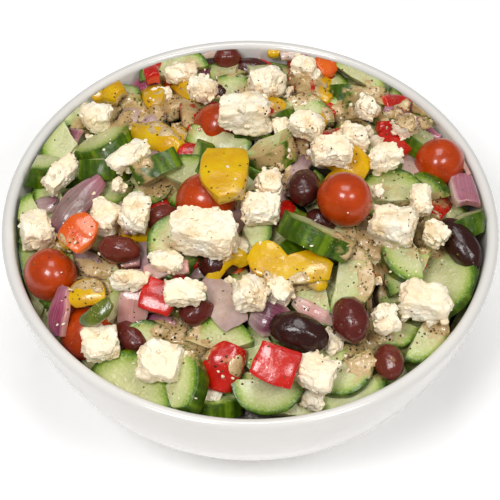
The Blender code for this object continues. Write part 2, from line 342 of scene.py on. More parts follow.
def pepper_material(name, flesh, shadow, light, freckles_and_sheen_specks=0.4):
    """Pepper of one colour: waxy skin on top with pale specks of painted sheen, paler flesh on the cut edges
    and below.
    """
    paint = Paint(name, Coat_Weight=0.3, Coat_Roughness=0.08, Subsurface_Weight=0.1, Subsurface_Scale=0.003)
    depth = paint.part(paint.attribute("spot", "Vector"), "Z")
    cloud = paint.mottle(120, 4.0)
    skin = paint.ramp(cloud, (0.30, shadow), (0.52, paint_tone(shadow, light, 0.55)), (0.72, light))
    cut = depth.between(0.10, 0.55)
    colour = paint.mix(cut * 0.6, skin, flesh)
    # Painted sheen: pale specks on the skin stand for glints on its glossy wax.
    painted_sheen_specks = paint.specks(720, 0.10, 0.26, 180, 2.0, 0.45, 0.60)
    colour = paint.mix(painted_sheen_specks * freckles_and_sheen_specks, colour, srgb(250, 232, 190))
    grain = paint.mottle(380, 4.0) + cut * paint.mottle(1300, 2.0)
    colour = dressed(paint, colour, 0.62)
    return paint.finish(colour, paint.mottle(420, 2.0) * 0.18 + 0.16, grain, 0.0004, 0.6)


def paint_tone(below, above, share):
    return tuple(a + (b - a) * share for a, b in zip(below, above))


def tinted_material(name, roughness, coat, veins=0.0, grain=900, depth=0.0003, freckles_and_sheen_specks=0.0, sauce=0.8,
                    subsurface=0.1):
    """A material whose colour comes from the piece's own tint, for onion, tomatoes, olives and herbs."""
    paint = Paint(name, Coat_Weight=coat, Coat_Roughness=0.09, Subsurface_Weight=subsurface,
                  Subsurface_Scale=0.003, Specular_IOR_Level=0.35)
    tint = paint.attribute("tint", "Color")
    cloud = paint.mottle(160, 4.0)
    darker = paint.mix(1.0, tint, srgb(196, 172, 156), "MULTIPLY")
    colour = paint.mix(cloud.between(0.35, 0.75) * 0.5, tint, darker)
    height = paint.mottle(grain, 3.0)
    if veins:
        spot = paint.attribute("spot", "Vector")
        lines = paint.mottle(1.0, 3.0, paint.stretched(spot, 0.05, 1.5, 0.2))
        colour = paint.mix(lines.between(0.45, 0.65) * veins, colour, srgb(236, 214, 204))
        height = height + lines
    if freckles_and_sheen_specks:
        dots = paint.specks(800, 0.08, 0.22, 260, 1.0, 0.48, 0.60)
        colour = paint.mix(dots * freckles_and_sheen_specks, colour, srgb(240, 180, 110))
    colour = dressed(paint, colour, sauce)
    return paint.finish(colour, paint.mottle(350, 2.0) * 0.12 + roughness, height, depth, 0.6)


def feta_material():
    paint = Paint("feta", Roughness=0.55, Subsurface_Weight=0.08, Subsurface_Scale=0.002)
    sauce = paint.attribute("sauce")
    low = paint.mottle(95, 5.0)
    colour = paint.ramp(low, (0.32, srgb(255, 230, 192)), (0.50, srgb(255, 240, 211)),
                        (0.68, srgb(255, 246, 226)))
    pits_and_pit_shade = paint.mottle(620, 4.0)
    # Painted shade: the pits, low in the bump, are painted a darker tan as if shaded.
    colour = paint.mix((1 - pits_and_pit_shade.between(0.30, 0.46)) * 0.16, colour, srgb(232, 204, 150))
    stain = (paint.mottle(150, 4.0) + sauce * 0.28).between(0.66, 0.86)
    colour = paint.mix(stain * 0.5, colour, srgb(214, 178, 112))
    flecks = paint.specks(520, 0.08, 0.17, 240, 1.0, 0.52, 0.62)
    colour = paint.mix(flecks * 0.18, colour, srgb(150, 122, 70))
    return paint.finish(colour, pits_and_pit_shade * 0.3 + 0.4, pits_and_pit_shade + paint.cells(780) * 0.4, 0.0005, 0.7)


def dressing_material():
    paint = Paint("dressing", Coat_Weight=0.6, Coat_Roughness=0.08, Subsurface_Weight=0.15,
                  Subsurface_Scale=0.003)
    cloud = paint.mottle(170, 5.0)
    colour = paint.ramp(cloud, (0.30, srgb(178, 146, 92)), (0.50, srgb(200, 168, 116)),
                        (0.70, srgb(218, 192, 146)))
    herbs = paint.specks(430, 0.14, 0.30, 300, 2.0, 0.44, 0.56)
    colour = paint.mix(herbs * 0.8, colour, srgb(92, 78, 34))
    pepper = paint.specks(900, 0.16, 0.30, 520, 2.0, 0.50, 0.60)
    colour = paint.mix(pepper * 0.75, colour, srgb(52, 38, 20))
    curds = paint.specks(360, 0.10, 0.24, 140, 2.0, 0.52, 0.62)
    colour = paint.mix(curds * 0.75, colour, srgb(240, 226, 196))
    grain = paint.mottle(420, 4.0) + herbs * 0.5 + curds * 0.5
    return paint.finish(colour, paint.mottle(260, 2.0) * 0.2 + 0.22, grain, 0.0007, 0.8)


# ---------------------------------------------------------------- layout along the sight lines

class Layout:
    """What lies in front and behind along each sight line, on a grid over the rim's level."""

    CELL = 2.0
    HALF = 120.0
    SLOPES = [(0.0, 0.0)] + [(math.cos(math.radians(a)) * k, math.sin(math.radians(a)) * k)
                             for k in (0.2, 0.4, 0.6) for a in range(0, 360, 45)]

    def __init__(self):
        self.count = int(2 * self.HALF / self.CELL)
        self.front = np.full(self.count ** 2, 1e6)
        self.back = np.full(self.count ** 2, -1e6)

    def seen(self, points):
        """Each point's place on the rim's level, its cell and its distance from the eye."""
        plane = on_rim_level(points)
        index = np.clip(((plane + self.HALF) / self.CELL).astype(int), 0, self.count - 1)
        return plane, index[:, 0] * self.count + index[:, 1], np.linalg.norm(points - EYE_POINT, axis=1)

    def add(self, points):
        _, cell, distance = self.seen(points)
        np.minimum.at(self.front, cell, distance)
        np.maximum.at(self.back, cell, distance)

    def tuck(self, points, allow=0.07, most=13.0):
        """How far each point slides back along its sight line to lie behind what is already there."""
        plane, cell, distance = self.seen(points)
        used, inverse = np.unique(cell, return_inverse=True)
        nearest = np.full(len(used), 1e6)
        np.minimum.at(nearest, inverse, distance)
        middle = np.stack([used // self.count, used % self.count], 1) * self.CELL - self.HALF
        cover = self.front[used] + COVER_SHARE * (self.back[used] - self.front[used])
        need = np.where(self.back[used] > 0, cover - nearest, -99.0)
        best = None
        for slope in self.SLOPES:
            ramp = middle @ np.array(slope)
            hinge = ramp.min()
            shift = max(0.0, float(np.quantile(need - (ramp - hinge), 1 - allow)))
            cost = shift + float((ramp - hinge).mean()) + 5.0 * math.hypot(*slope)
            if best is None or cost < best[0]:
                best = (cost, shift, np.array(slope), hinge)
        _, shift, slope, hinge = best
        return np.clip(shift + plane @ slope - hinge, 0.0, most)

    def lift(self, points, allow=0.07, most=16.0):
        """How far each point comes forward to lie over what is already there."""
        _, cell, distance = self.seen(points)
        used, inverse = np.unique(cell, return_inverse=True)
        farthest = np.full(len(used), -1e6)
        np.maximum.at(farthest, inverse, distance)
        room = np.minimum(self.front[used] - farthest, 99.0)
        return np.full(len(points), min(max(float(np.quantile(room, allow)), -most), 0.0))


class Morsel:
    """One piece of food: its bmesh, its points in millimetres and the values its material reads."""

    def __init__(self, kind, bm, points, spot, tint=(1, 1, 1, 1), skin=None):
        self.kind = kind
        self.bm = bm
        self.points = points
        self.spot = spot
        self.tint = tint
        self.skin = np.zeros(len(points)) if skin is None else skin

    def samples(self):
        """The points and the middles of the faces."""
        self.bm.verts.index_update()
        middles = [self.points[[v.index for v in f.verts]].mean(0) for f in self.bm.faces]
        return np.concatenate([self.points, np.array(middles)])

    def slide(self, push):
        rays = self.points - EYE_POINT
        length = np.linalg.norm(rays, axis=1)
        self.points = EYE_POINT + rays * ((length + push) / length)[:, None]

    def keep_in_bowl(self, gap=0.6):
        """Points near the wall are squeezed together along their sight lines instead of going through it."""
        length = np.linalg.norm(self.points - EYE_POINT, axis=1)
        level = on_rim_level(self.points)
        reach = np.hypot(level[:, 0], level[:, 1])
        inside = INNER_RADIUS - gap - 1.0
        nearside = (reach > inside) & (self.points[:, 1] < 0)
        level = level * np.minimum(1.0, inside / np.maximum(reach, 1e-6))[:, None]
        way = np.column_stack([level, np.full(len(level), RIM)]) - EYE_POINT
        over_rim = np.linalg.norm(way, axis=1)
        way /= over_rim[:, None]
        near, far = over_rim.copy(), over_rim + 230.0
        for _ in range(16):
            middle = (near + far) / 2
            beyond = self.outside(EYE_POINT + way * middle[:, None], gap)
            near, far = np.where(beyond, near, middle), np.where(beyond, middle, far)
        limit = near - SQUEEZE
        if not nearside.all():
            length = length - np.clip(np.quantile((length - limit)[~nearside], 0.8), 0.0, MOST_FORWARD)
        squeezed = limit + SQUEEZE * (1 - np.exp(-np.maximum(length - limit, 0) / SQUEEZE))
        pressed = EYE_POINT + way * np.where(length > limit, squeezed, length)[:, None]
        self.points = np.where(nearside[:, None], self.points, pressed)
        reach = np.hypot(self.points[:, 0], self.points[:, 1])
        limit = inner_radius_at(np.minimum(self.points[:, 2], RIM)) - gap
        self.points[:, :2] *= np.minimum(1.0, limit / np.maximum(reach, 1e-6))[:, None]

    @staticmethod
    def outside(points, gap):
        reach = np.hypot(points[:, 0], points[:, 1])
        return (reach > inner_radius_at(points[:, 2]) - gap) & (points[:, 2] < RIM + 2.0)


def centre_on(points, x, y, rise):
    """Moves points so that the middle of their seen outline is at (x, y), on the dome."""
    target = resting_place(x, y, rise)
    points = points + np.array(target)
    for _ in range(3):
        plane = on_rim_level(points)
        middle = (plane.min(0) + plane.max(0)) / 2
        points[:, :2] += np.array([x, y]) - middle
    return points


# ---------------------------------------------------------------- makers of single pieces

def softened(bm, offset, segments=2, angle=45.0):
    """Bevels the edges that are sharper than angle."""
    sharp = [e for e in bm.edges if len(e.link_faces) == 2 and e.calc_face_angle(0.0) > math.radians(angle)]
    bmesh.ops.bevel(bm, geom=sharp, offset=offset, offset_type="OFFSET", segments=segments, profile=0.5,
                    affect="EDGES", material=-1, clamp_overlap=True)


def thickened(bm, thick, rows):
    """Gives an open sheet its thickness, downwards, with rows of faces down its sides."""
    bmesh.ops.recalc_face_normals(bm, faces=bm.faces)
    if sum(f.normal.z for f in bm.faces) < 0:
        bmesh.ops.reverse_faces(bm, faces=bm.faces)
    bmesh.ops.solidify(bm, geom=bm.faces[:] + bm.edges[:] + bm.verts[:], thickness=thick)
    if rows > 1:
        upright = [e for e in bm.edges if abs(e.verts[0].co.z - e.verts[1].co.z) > 0.6 * thick
                   and (e.verts[0].co.xy - e.verts[1].co.xy).length < 0.2 * thick]
        bmesh.ops.subdivide_edges(bm, edges=upright, cuts=rows - 1, use_grid_fill=True)
    bmesh.ops.recalc_face_normals(bm, faces=bm.faces)


def points_of(bm):
    return np.array([v.co for v in bm.verts], float).reshape(-1, 3)


def ball(subdivisions):
    """An even ball and its points, which are also the directions out of it."""
    bm = bmesh.new()
    bmesh.ops.create_icosphere(bm, subdivisions=subdivisions, radius=1.0)
    return bm, points_of(bm)


def squared_up(unit, power):
    return np.sign(unit) * np.abs(unit) ** power


def on_disc(x, y):
    """A place of a square sheet moved so that the sheet is round."""
    return x * math.sqrt(1 - y * y / 2), y * math.sqrt(1 - x * x / 2)


def wrinkled(points, size, depth, seed):
    """Small uneven shifts in every direction."""
    shift = Vector((seed * 7.3, seed * 3.1, seed * 1.7))
    return points + np.array([noise.noise_vector(Vector(p) / size + shift) for p in points]) * depth


def cucumber_slice(radius, thick, wedge, seed):
    """A slice of cucumber, or a wedge of one in degrees, its skin's middle along +X. Face up, top at z 0."""
    bm = bmesh.new()
    steps = max(8, round(2 * radius / GRID_STEP))
    bmesh.ops.create_grid(bm, x_segments=steps, y_segments=steps, size=1.0)
    for v in bm.verts:
        v.co = Vector((*on_disc(v.co.x, v.co.y), 0)) * radius
    if wedge < FULL_SLICE:
        half = math.radians(wedge / 2)
        corner = 0.5 * math.cos(math.radians(90 - wedge / 2))
        for side in (-1, 1):
            normal = Vector((-math.sin(half), side * math.cos(half), 0))
            bmesh.ops.bisect_plane(bm, geom=bm.verts[:] + bm.edges[:] + bm.faces[:], dist=1e-4,
                                   plane_co=(corner, 0, 0), plane_no=normal, clear_outer=True)
    thickened(bm, thick, max(1, round(thick / 3.5)))
    softened(bm, 0.7)
    flat = points_of(bm)
    reach = np.hypot(flat[:, 0], flat[:, 1]) / radius
    spot = np.stack([flat[:, 0] / radius, flat[:, 1] / radius, flat[:, 2]], 1)
    skin = np.clip((reach - 0.955) / 0.03, 0, 1)
    bulge = 0.6 * np.cos(np.clip(reach, 0, 1) * math.pi / 2)[:, None] * np.array([0, 0, 1.0])
    points = wrinkled(flat + bulge * np.sign(flat[:, 2:] + thick / 2), 9.0, 0.9, seed)
    return bm, wrinkled(points, 2.6, 0.25, seed), spot, skin


def cucumber(x, y, radius, thick, wedge, skin_side, lean_side, lean, rise, seed):
    """A cucumber piece at (x, y). Its skin faces skin_side in plan, and its cut face leans to lean_side."""
    bm, points, spot, skin = cucumber_slice(radius, thick, wedge, seed)
    turn = Matrix.Rotation(math.radians(skin_side), 3, "Z")
    axis = Vector((-math.sin(math.radians(lean_side)), math.cos(math.radians(lean_side)), 0))
    tip = Matrix.Rotation(math.radians(lean), 3, axis)
    points = (points + [0, 0, thick / 2]) @ np.array(tip @ turn).T
    return Morsel("cucumber", bm, centre_on(points, x, y, rise - thick / 2 * math.cos(math.radians(lean))),
                  spot, skin=skin)


def spline(values, share):
    """Catmull-Rom through values, share 0 to 1 along them."""
    count = len(values) - 1
    place = np.clip(share, 0, 1) * count
    low = np.minimum(place.astype(int), count - 1)
    t = (place - low)[:, None]
    padded = np.concatenate([[2 * values[0] - values[1]], values, [2 * values[-1] - values[-2]]])
    a, b, c, d = (padded[low + k] for k in range(4))
    return 0.5 * (2 * b + (c - a) * t + (2 * a - 5 * b + 4 * c - d) * t ** 2
                  + (3 * b - a - 3 * c + d) * t ** 3)


def ribbon(kind, path, widths, thick, roll=0.0, bow=0.0, round_ends=0.5, rough=0.5, seed=0, tint=None):
    """A strip or a leaf of onion or pepper along a path of (x, y, rise), with its width at each point."""
    rail = np.array([resting_place(x, y, rise) for x, y, rise in path])
    length = float(np.linalg.norm(np.diff(rail, axis=0), axis=1).sum())
    widest = max(widths)
    bm = bmesh.new()
    bmesh.ops.create_grid(bm, x_segments=max(5, round(length / GRID_STEP)),
                          y_segments=max(3, round(widest / GRID_STEP)), size=1.0)
    for v in bm.verts:
        v.co = Vector((v.co.x * length / 2, v.co.y * widest / 2, 0))
    thickened(bm, thick, 1 if thick < 4 else 2)
    softened(bm, min(0.55, thick * 0.16))
    flat = points_of(bm)
    share = flat[:, 0] / length + 0.5
    across = flat[:, 1] / (widest / 2)
    centre = spline(rail, share)
    ahead = spline(rail, share + 0.01) - spline(rail, share - 0.01)
    ahead /= np.maximum(np.linalg.norm(ahead, axis=1), 1e-6)[:, None]
    mid = rail.mean(0)
    up = (dome_normal(mid[0], mid[1]) + (EYE - Vector(mid)).normalized()).normalized()
    side = np.cross(np.array(up), ahead)
    side /= np.linalg.norm(side, axis=1)[:, None]
    above = np.cross(ahead, side)
    angle = math.radians(roll)
    side, above = (side * math.cos(angle) + above * math.sin(angle),
                   above * math.cos(angle) - side * math.sin(angle))
    width = spline(np.array(widths, float)[:, None], share)[:, 0] / 2
    end = np.clip(np.abs(2 * share - 1), 0, 1) ** 5
    width = width * (1 - round_ends * end)
    height = flat[:, 2] + thick / 2 - bow * (across ** 2 - 0.4)
    points = centre + side * (across * width)[:, None] + above * height[:, None]
    points = wrinkled(wrinkled(points, 8.0, rough * 1.6, seed), 2.5, rough * 0.35, seed)
    spot = np.stack([flat[:, 0], flat[:, 1], -flat[:, 2] / thick], 1)
    return Morsel(kind, bm, points, spot, tint=(1, 1, 1, 1) if tint is None else tint(share, across))


def feta_bit(x, y, size, turn, rise, seed):
    """A small clump of feta: a ball squared up a little, then broken by noise."""
    bm, flat = ball(5)
    points = squared_up(flat, 0.7) * np.array(size) / 2
    turned = np.array(Euler((0.2 * math.sin(seed), 0.2 * math.cos(seed), math.radians(turn))).to_matrix())
    points = points @ turned.T
    points = wrinkled(points, 0.5 * min(size), 0.26 * min(size), seed)
    points = wrinkled(points, 1.5, min(0.6, 0.14 * min(size)), seed + 5)
    return Morsel("feta_bits", bm, centre_on(points, x, y, rise), flat, tint=CREAM)


def rounded_ball(radius, flat_share, dimple, toward):
    """A tomato: a ball, flatter along toward, with a dimple and scar where its stem was."""
    bm, unit = ball(5)
    facing = unit @ np.array(toward.normalized())
    near = np.clip((facing - 0.86) / 0.14, 0, 1)
    reach = 1 - flat_share * facing ** 2 - dimple * near ** 2 * (3 - 2 * near)
    return bm, unit * (reach * radius)[:, None], facing


def tomato(name):
    """A cherry tomato in the place of its solid."""
    low, high = (np.array(corner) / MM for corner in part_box(name))
    middle = (low + high) / 2
    radius = (high - low).max() / 2
    seed = int(name[-2:])
    toward = Vector((math.sin(seed * 2.4), 0.9, 0.35 * math.cos(seed * 1.7)))
    bm, points, facing = rounded_ball(radius, 0.05, 0.10, toward)
    points = wrinkled(points, 9.0, 0.35, seed) + middle
    red = TOMATO_DEEP if seed in TOMATOES_DEEP else TOMATO_RED
    scar = np.clip((facing - 0.985) / 0.01, 0, 1)[:, None]
    return Morsel("tomatoes", bm, points, points - middle,
                  tint=np.array(red) * (1 - scar) + np.array(srgb(120, 80, 40)) * scar)


def olive_shape(length, diameter, seed):
    """An almond shape along +X with lengthwise wrinkles."""
    bm = bmesh.new()
    bmesh.ops.create_uvsphere(bm, u_segments=40, v_segments=24, radius=1.0)
    unit = points_of(bm)
    along, side, up = unit[:, 2], unit[:, 0], unit[:, 1]
    girth = 1 - 0.06 * along - 0.06 * np.maximum(along, 0) ** 3
    turn = np.arctan2(up, side)
    pleat = np.array([noise.noise(Vector((a * 1.2 + seed, math.cos(t) * 2.2, math.sin(t) * 2.2)))
                      for a, t in zip(along, turn)])
    girth = girth * (1 + 0.075 * pleat)
    points = np.stack([along * length, side * girth * diameter, up * girth * diameter], 1) / 2
    return bm, wrinkled(wrinkled(points, 4.0, 0.5, seed), 1.8, 0.22, seed), unit


def olive(x, y, length, diameter, turn, tilt, rise, tint, seed):
    """A further olive at (x, y)."""
    bm, points, unit = olive_shape(length, diameter, seed)
    points = points @ np.array(Euler((0, math.radians(tilt), math.radians(turn))).to_matrix()).T
    return Morsel("olives", bm, centre_on(points, x, y, rise), unit, tint=tint)


def olive_of(name):
    """An olive in the place of its solid, along the solid's long axis."""
    solid = points_of_node(name)
    middle = solid.mean(0)
    _, _, axes = np.linalg.svd(solid - middle)
    if np.linalg.det(axes) < 0:
        axes[2] *= -1
    spread = (solid - middle) @ axes.T
    seed = int(name[-2:])
    extent = np.ptp(spread, axis=0)
    bm, points, unit = olive_shape(float(extent[0]), float(extent[1:].mean()), seed)
    middle = middle + ((spread.max(0) + spread.min(0)) / 2) @ axes
    points = points @ axes + middle
    return Morsel("olives", bm, points, unit, tint=OLIVE_TINTS[seed - 1])


def points_of_node(name):
    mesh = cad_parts[name].data
    flat = np.zeros(len(mesh.vertices) * 3)
    mesh.vertices.foreach_get("co", flat)
    return np.unique(np.round(flat.reshape(-1, 3) / MM, 4), axis=0)


def feta_chunk(name):
    """A chunk in the place of its solid, broken along flat faces and crumbled all over."""
    solid = points_of_node(name)
    middle = solid.mean(0)
    _, _, axes = np.linalg.svd(solid - middle)
    spread = (solid - middle) @ axes.T
    middle = middle + ((spread.max(0) + spread.min(0)) / 2) @ axes
    half = np.ptp(spread, axis=0) / 2
    seed = int(name[-2:])
    rng = np.random.default_rng(seed)
    faces = np.concatenate([np.eye(3), -np.eye(3)]) + rng.normal(0, 0.16, (6, 3))
    reach = np.concatenate([half, half]) * rng.uniform(0.78, 0.96, 6)
    cuts = rng.normal(0, 1, (7, 3))
    cuts /= np.linalg.norm(cuts, axis=1)[:, None]
    faces = np.concatenate([faces / np.linalg.norm(faces, axis=1)[:, None], cuts])
    reach = np.concatenate([reach, (np.abs(cuts) @ half) * rng.uniform(0.62, 0.80, 7)])
    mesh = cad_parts[name].data
    tree = BVHTree.FromPolygons([v.co / MM for v in mesh.vertices],
                                [tuple(f.vertices) for f in mesh.polygons])
    bm, way = ball(6 if half[0] > FETA_LARGE else 5)
    way *= half
    way /= np.linalg.norm(way, axis=1)[:, None]
    outward = way @ axes
    hull = np.array([tree.ray_cast(Vector(middle), Vector(o))[3] or 0.0 for o in outward])
    walls = (reach / np.maximum(way @ faces.T, 1e-6)).min(1)
    points = outward * np.minimum(hull * 1.04, walls)[:, None] + middle
    uneven = 0.8 if half[0] > FETA_LARGE else 1.5
    rough = np.array([crumble(Vector(p), uneven) for p in points])
    return Morsel("feta_chunks", bm, points + outward * rough[:, None], points, tint=CREAM)


def crumble(place, uneven):
    """How far feta's broken face stands out at a place: swellings, blocks and grains."""
    blocks = noise.voronoi(place / 4.2)[1][0]
    grains = noise.voronoi(place / 1.7)[1][0]
    return (uneven * noise.noise(place / 6.5) + 1.4 * noise.noise(blocks * 9.0)
            + 0.7 * noise.noise(grains * 13.0) - 1.2 * max(0.0, noise.noise(place / 2.2) - 0.25))


def feta_shards(chunk, rng):
    """Crumbs that cling to a chunk's faces and edges."""
    made = []
    for _ in range(SHARDS):
        root = chunk.points[rng.randrange(len(chunk.points))]
        size = rng.uniform(1.6, 4.2)
        bm, unit = ball(3 if size > LARGE_SHARD else 2)
        stretch = np.array([1.0, rng.uniform(0.55, 0.9), rng.uniform(0.45, 0.8)]) * size / 2
        turn = Euler([rng.uniform(0, 6.28) for _ in range(3)]).to_matrix()
        points = (squared_up(unit, 0.8) * stretch) @ np.array(turn).T
        seed = rng.randrange(999)
        points = wrinkled(points, 0.6 * size, 0.3 * size, seed)
        points = wrinkled(points, 0.25 * size, 0.1 * size, seed) + root
        made.append(Morsel("feta_crumbs", bm, points, points, tint=CREAM))
    return made


# ---------------------------------------------------------------- tables: what lies where

FETA_LARGE = 12.0
SHARDS = 9
LARGE_SHARD = 3.4
CREAM = srgb(254, 245, 222)

# layer (0 over the toppings, 1 in front to 3 behind), x, y, radius, thickness, wedge, side its skin faces,
# side its cut face leans to, lean, rise
CUCUMBERS = (
    (2, -83, 61, 17, 8, 170, -110, -60, 15, 1),
    (2, -88, 39, 18, 9, 120, 180, -90, 20, 0),
    (1, -68, 42, 16, 9, 180, -45, 135, 28, 1),
    (2, -66, 25, 17, 9, 90, -90, 90, 50, 0),
    (2, -95, 24, 17, 9, 120, -90, 90, 25, 0),
    (2, -90, 6, 15, 8, 120, 180, -70, 20, 0),
    (3, -99, -5, 15, 7, 120, 180, -60, 30, -2),
    (2, -61, 11, 15, 7, 90, -60, -90, 25, 0),
    (3, -50, 13, 17, 8, 180, -90, -90, 20, -2),
    (1, -43, 28, 18, 9, 80, -58, 122, 60, 1),
    (2, -31, 24, 16, 8, 90, 110, -90, 15, 0),
    (3, -23, 33, 14, 7, 90, 0, 180, 60, 0),
    (2, -37, 91, 17, 8, 180, 105, -90, 15, 0),
    (2, -9, 75, 15, 8, 120, 90, -90, 25, 0),
    (1, -15, 43, 15, 8, 180, 70, 70, 55, 3),
    (1, 8, 37, 15, 10, 150, -50, 130, 28, 1),
    (2, 24, 63, 15, 8, 150, 80, -90, 25, -1),
    (3, 12, 57, 14, 7, 90, -60, 120, 50, 0),
    (1, 46, 72, 15, 9, 90, -100, 80, 60, 0),
    (2, 43, 65, 12, 6, 90, 90, -90, 20, 0),
    (2, 53, 64, 14, 8, 90, -80, 100, 60, 0),
    (1, 52, 86, 16, 8, 180, 45, 225, 30, 1),
    (2, 78, 35, 15, 8, 110, -150, -60, 20, 0),
    (2, 63, 17, 16, 8, 180, 95, -90, 20, 0),
    (3, 82, 18, 14, 6, 90, 45, -135, 60, 0),
    (2, 98, -3, 16, 9, 120, -60, 120, 50, 0),
    (1, 65, -20, 16, 9, 150, -150, -60, 25, 1),
    (2, 68, -31, 15, 8, 150, 140, -60, 25, 0),
    (2, 82, -36, 18, 4, 360, 0, 180, 32, 0),
    (3, 96, -38, 14, 6, 120, 0, -60, 40, -1),
    (1, 29, -11, 18, 9, 160, -121, 59, 45, 2),
    (2, 3, -10, 13, 8, 120, 0, -90, 15, 0),
    (2, 16, -18, 14, 8, 100, -40, 140, 55, 0),
    (1, 44, -34, 17, 8, 180, -10, -90, 20, 0),
    (2, 25, -44, 16, 8, 150, -150, -60, 20, 0),
    (2, 36, -43, 9, 5, 90, -60, -90, 20, 0),
    (2, 60, -63, 13, 8, 160, -100, -90, 20, 0),
    (1, 74, -63, 14, 8, 170, -30, -70, 25, 1),
    (3, 3, -71, 14, 8, 120, 180, -90, 20, -1),
    (2, 42, -83, 14, 8, 150, -45, -90, 20, 0),
    (2, 41, -95, 17, 8, 160, -65, -90, 25, -1),
    (1, 8, -95, 15.5, 9, 180, -90, -90, 30, 0),
    (2, -12, -65, 15, 8, 150, 90, -90, 20, 0),
    (2, -43, -65, 13, 7, 100, 90, -90, 40, 0),
    (1, -25, -89, 17, 8, 150, 0, 200, 35, 1),
    (3, -15, -99, 15, 7, 120, -90, 90, 30, -2),
    (1, -47, -90, 20, 9, 180, 55, 235, 42, 1),
    (2, -37, -19, 16, 9, 150, 180, -90, 15, 0),
    (3, 1, 50, 13, 7, 90, -90, 90, 50, 0),
    (2, 54, -23, 10, 6, 90, 90, -90, 20, 0),
    (3, -95, -23, 14, 7, 120, 180, -60, 40, -2),
    (3, -94, -44, 14, 7, 150, 190, -60, 35, -2),
    (3, -86, -60, 14, 7, 150, 215, -60, 35, -2),
    (3, 98, -50, 14, 7, 150, -20, -60, 35, -2),
    (3, 90, -56, 13, 9, 170, -30, -110, 20, 1),
    (3, 90, -66, 14, 7, 150, -35, -60, 35, -2),
)

# layer, colour, path of (x, y, rise), widths, thickness, roll, bow, rounding of the ends
PEPPERS = (
    (0, "red", ((3, -75.5, 2), (11, -79, 3), (19.5, -82.5, 2)), (15, 16, 16), 6, 0, 0.4, 0.1),
    (1, "red", ((-6, -70, 0), (-10, -80, 2), (-12, -92, 0)), (12, 17, 14), 5.5, 0, 3, 0.3),
    (1, "red", ((-36, -38, 1), (-39, -46, 2), (-41, -53, 1)), (15, 15, 14), 5, 0, 0.4, 0.1),
    (1, "red", ((62, 51, 1), (68, 43, 1), (71, 37, 0)), (12, 15, 13), 5.5, 15, 1, 0.2),
    (1, "red", ((58, 53, 1), (64, 53, 2), (70, 50, 1)), (6, 7, 5), 5, 30, 0.5, 0.3),
    (2, "red", ((61, 69, 0), (68, 69, 0), (74, 67, 0)), (8, 8, 7), 5, 0, 1, 0.3),
    (2, "red", ((-5, 89, 0), (2, 90, 1), (9, 88, 0)), (8, 10, 8), 5, 0, 1, 0.3),
    (2, "red", ((-47, 82, 0), (-48, 88, 1), (-46, 93, 0)), (7, 7, 6), 5, 0, 1, 0.3),
    (2, "red", ((81, 1, 0), (84, 9, 1), (86, 18, 0)), (9, 11, 9), 5, 0, 2, 0.4),
    (2, "red", ((30, -49, 0), (34, -56, 1), (36, -63, 0)), (8, 9, 7), 5, 0, 1, 0.4),
    (2, "red", ((10, -3, 0), (14, 2, 1), (18, 6, 0)), (6, 7, 6), 5, 0, 1, 0.4),
    (3, "red", ((-33, 35, 0), (-28, 37, 0), (-23, 38, 0)), (6, 7, 6), 5, 0, 1, 0.4),
    (3, "red", ((-28, -28, 0), (-25, -27, 0), (-21, -26, 0)), (5, 6, 5), 4, 0, 1, 0.4),
    (3, "red", ((-62, -80, 0), (-57, -78, 0), (-53, -76, 0)), (4, 8, 6), 5, 0, 1, 0.4),
    (3, "red", ((-20, 64, 0), (-16, 64, 0), (-12, 64, 0)), (4, 5, 4), 4, 0, 1, 0.4),
    (2, "orange", ((31, 90, 0), (35, 93, 1), (40, 96, 0)), (9, 12, 8), 5, 0, 2, 0.4),
    (0, "orange", ((-79, -19, 2), (-75, -11, 3), (-70, -3, 2)), (13, 15, 10), 6, 0, 1, 0.2),
    (0, "yellow", ((-9, 10, 3), (-12, 24, 4), (-11, 37, 3)), (11, 21, 19), 6, 0, 1, 0.1),
    (1, "yellow", ((-55, 50, 1), (-44, 46, 4), (-32, 38, 1)), (8, 14, 9), 5, 0, 3, 0.5),
    (1, "yellow", ((1, -20, 2), (7, -24, 3), (14, -30, 2), (21, -29, 3), (28, -28, 3), (35, -31, 2)),
     (10, 16, 13, 13, 14, 8), 3.6, 0, 0.4, 0.3),
    (1, "yellow", ((24, -31, 1), (29, -36, 2), (31, -39, 0)), (8, 8, 6), 4, 0, 1, 0.5),
    (1, "yellow", ((-17, -37, 0), (-14, -29, 3), (-9, -23, 4), (-4, -24, 3), (-2, -28, 1)), (6, 7, 7, 7, 6),
     5, 20, 1, 0.5),
    (0, "yellow", ((-72, -39, 1), (-70, -45, 3), (-69, -51, 1)), (12, 18, 13), 5, 0, 1.2, 0.5),
    (1, "yellow", ((-75, 69, 1), (-69, 76, 4), (-62, 71, 1)), (6, 13, 9), 5, 0, 2, 0.4),
    (1, "yellow", ((35, 36, 1), (44, 33, 2), (53, 27, 1)), (10, 14, 11), 5, 0, 1.5, 0.3),
    (2, "yellow", ((26, 77, 1), (31, 74, 2), (37, 69, 1)), (6, 7, 6), 5, 0, 1, 0.4),
    (2, "yellow", ((3, 64, 1), (9, 65, 2), (15, 63, 1)), (8, 9, 7), 5, 0, 1, 0.4),
    (2, "yellow", ((7, 101, 0), (10, 101, 0), (13, 100, 0)), (4, 5, 4), 4, 0, 1, 0.4),
    (2, "yellow", ((71, -23, 0), (74, -22, 0), (77, -21, 0)), (3, 4, 3), 3, 0, 0.5, 0.4),
    (0, "green", ((-71, -58, 0), (-65, -55, 3), (-59, -48, 3)), (5, 8, 6), 3, 0, 1, 0.6),
    (2, "green", ((60, 31, 0), (64, 31, 0), (68, 30, 0)), (5, 6, 5), 4, 0, 1, 0.4),
    (2, "green", ((-54, 64, 0), (-51, 64, 0), (-48, 64, 0)), (5, 6, 5), 4, 0, 1, 0.4),
)

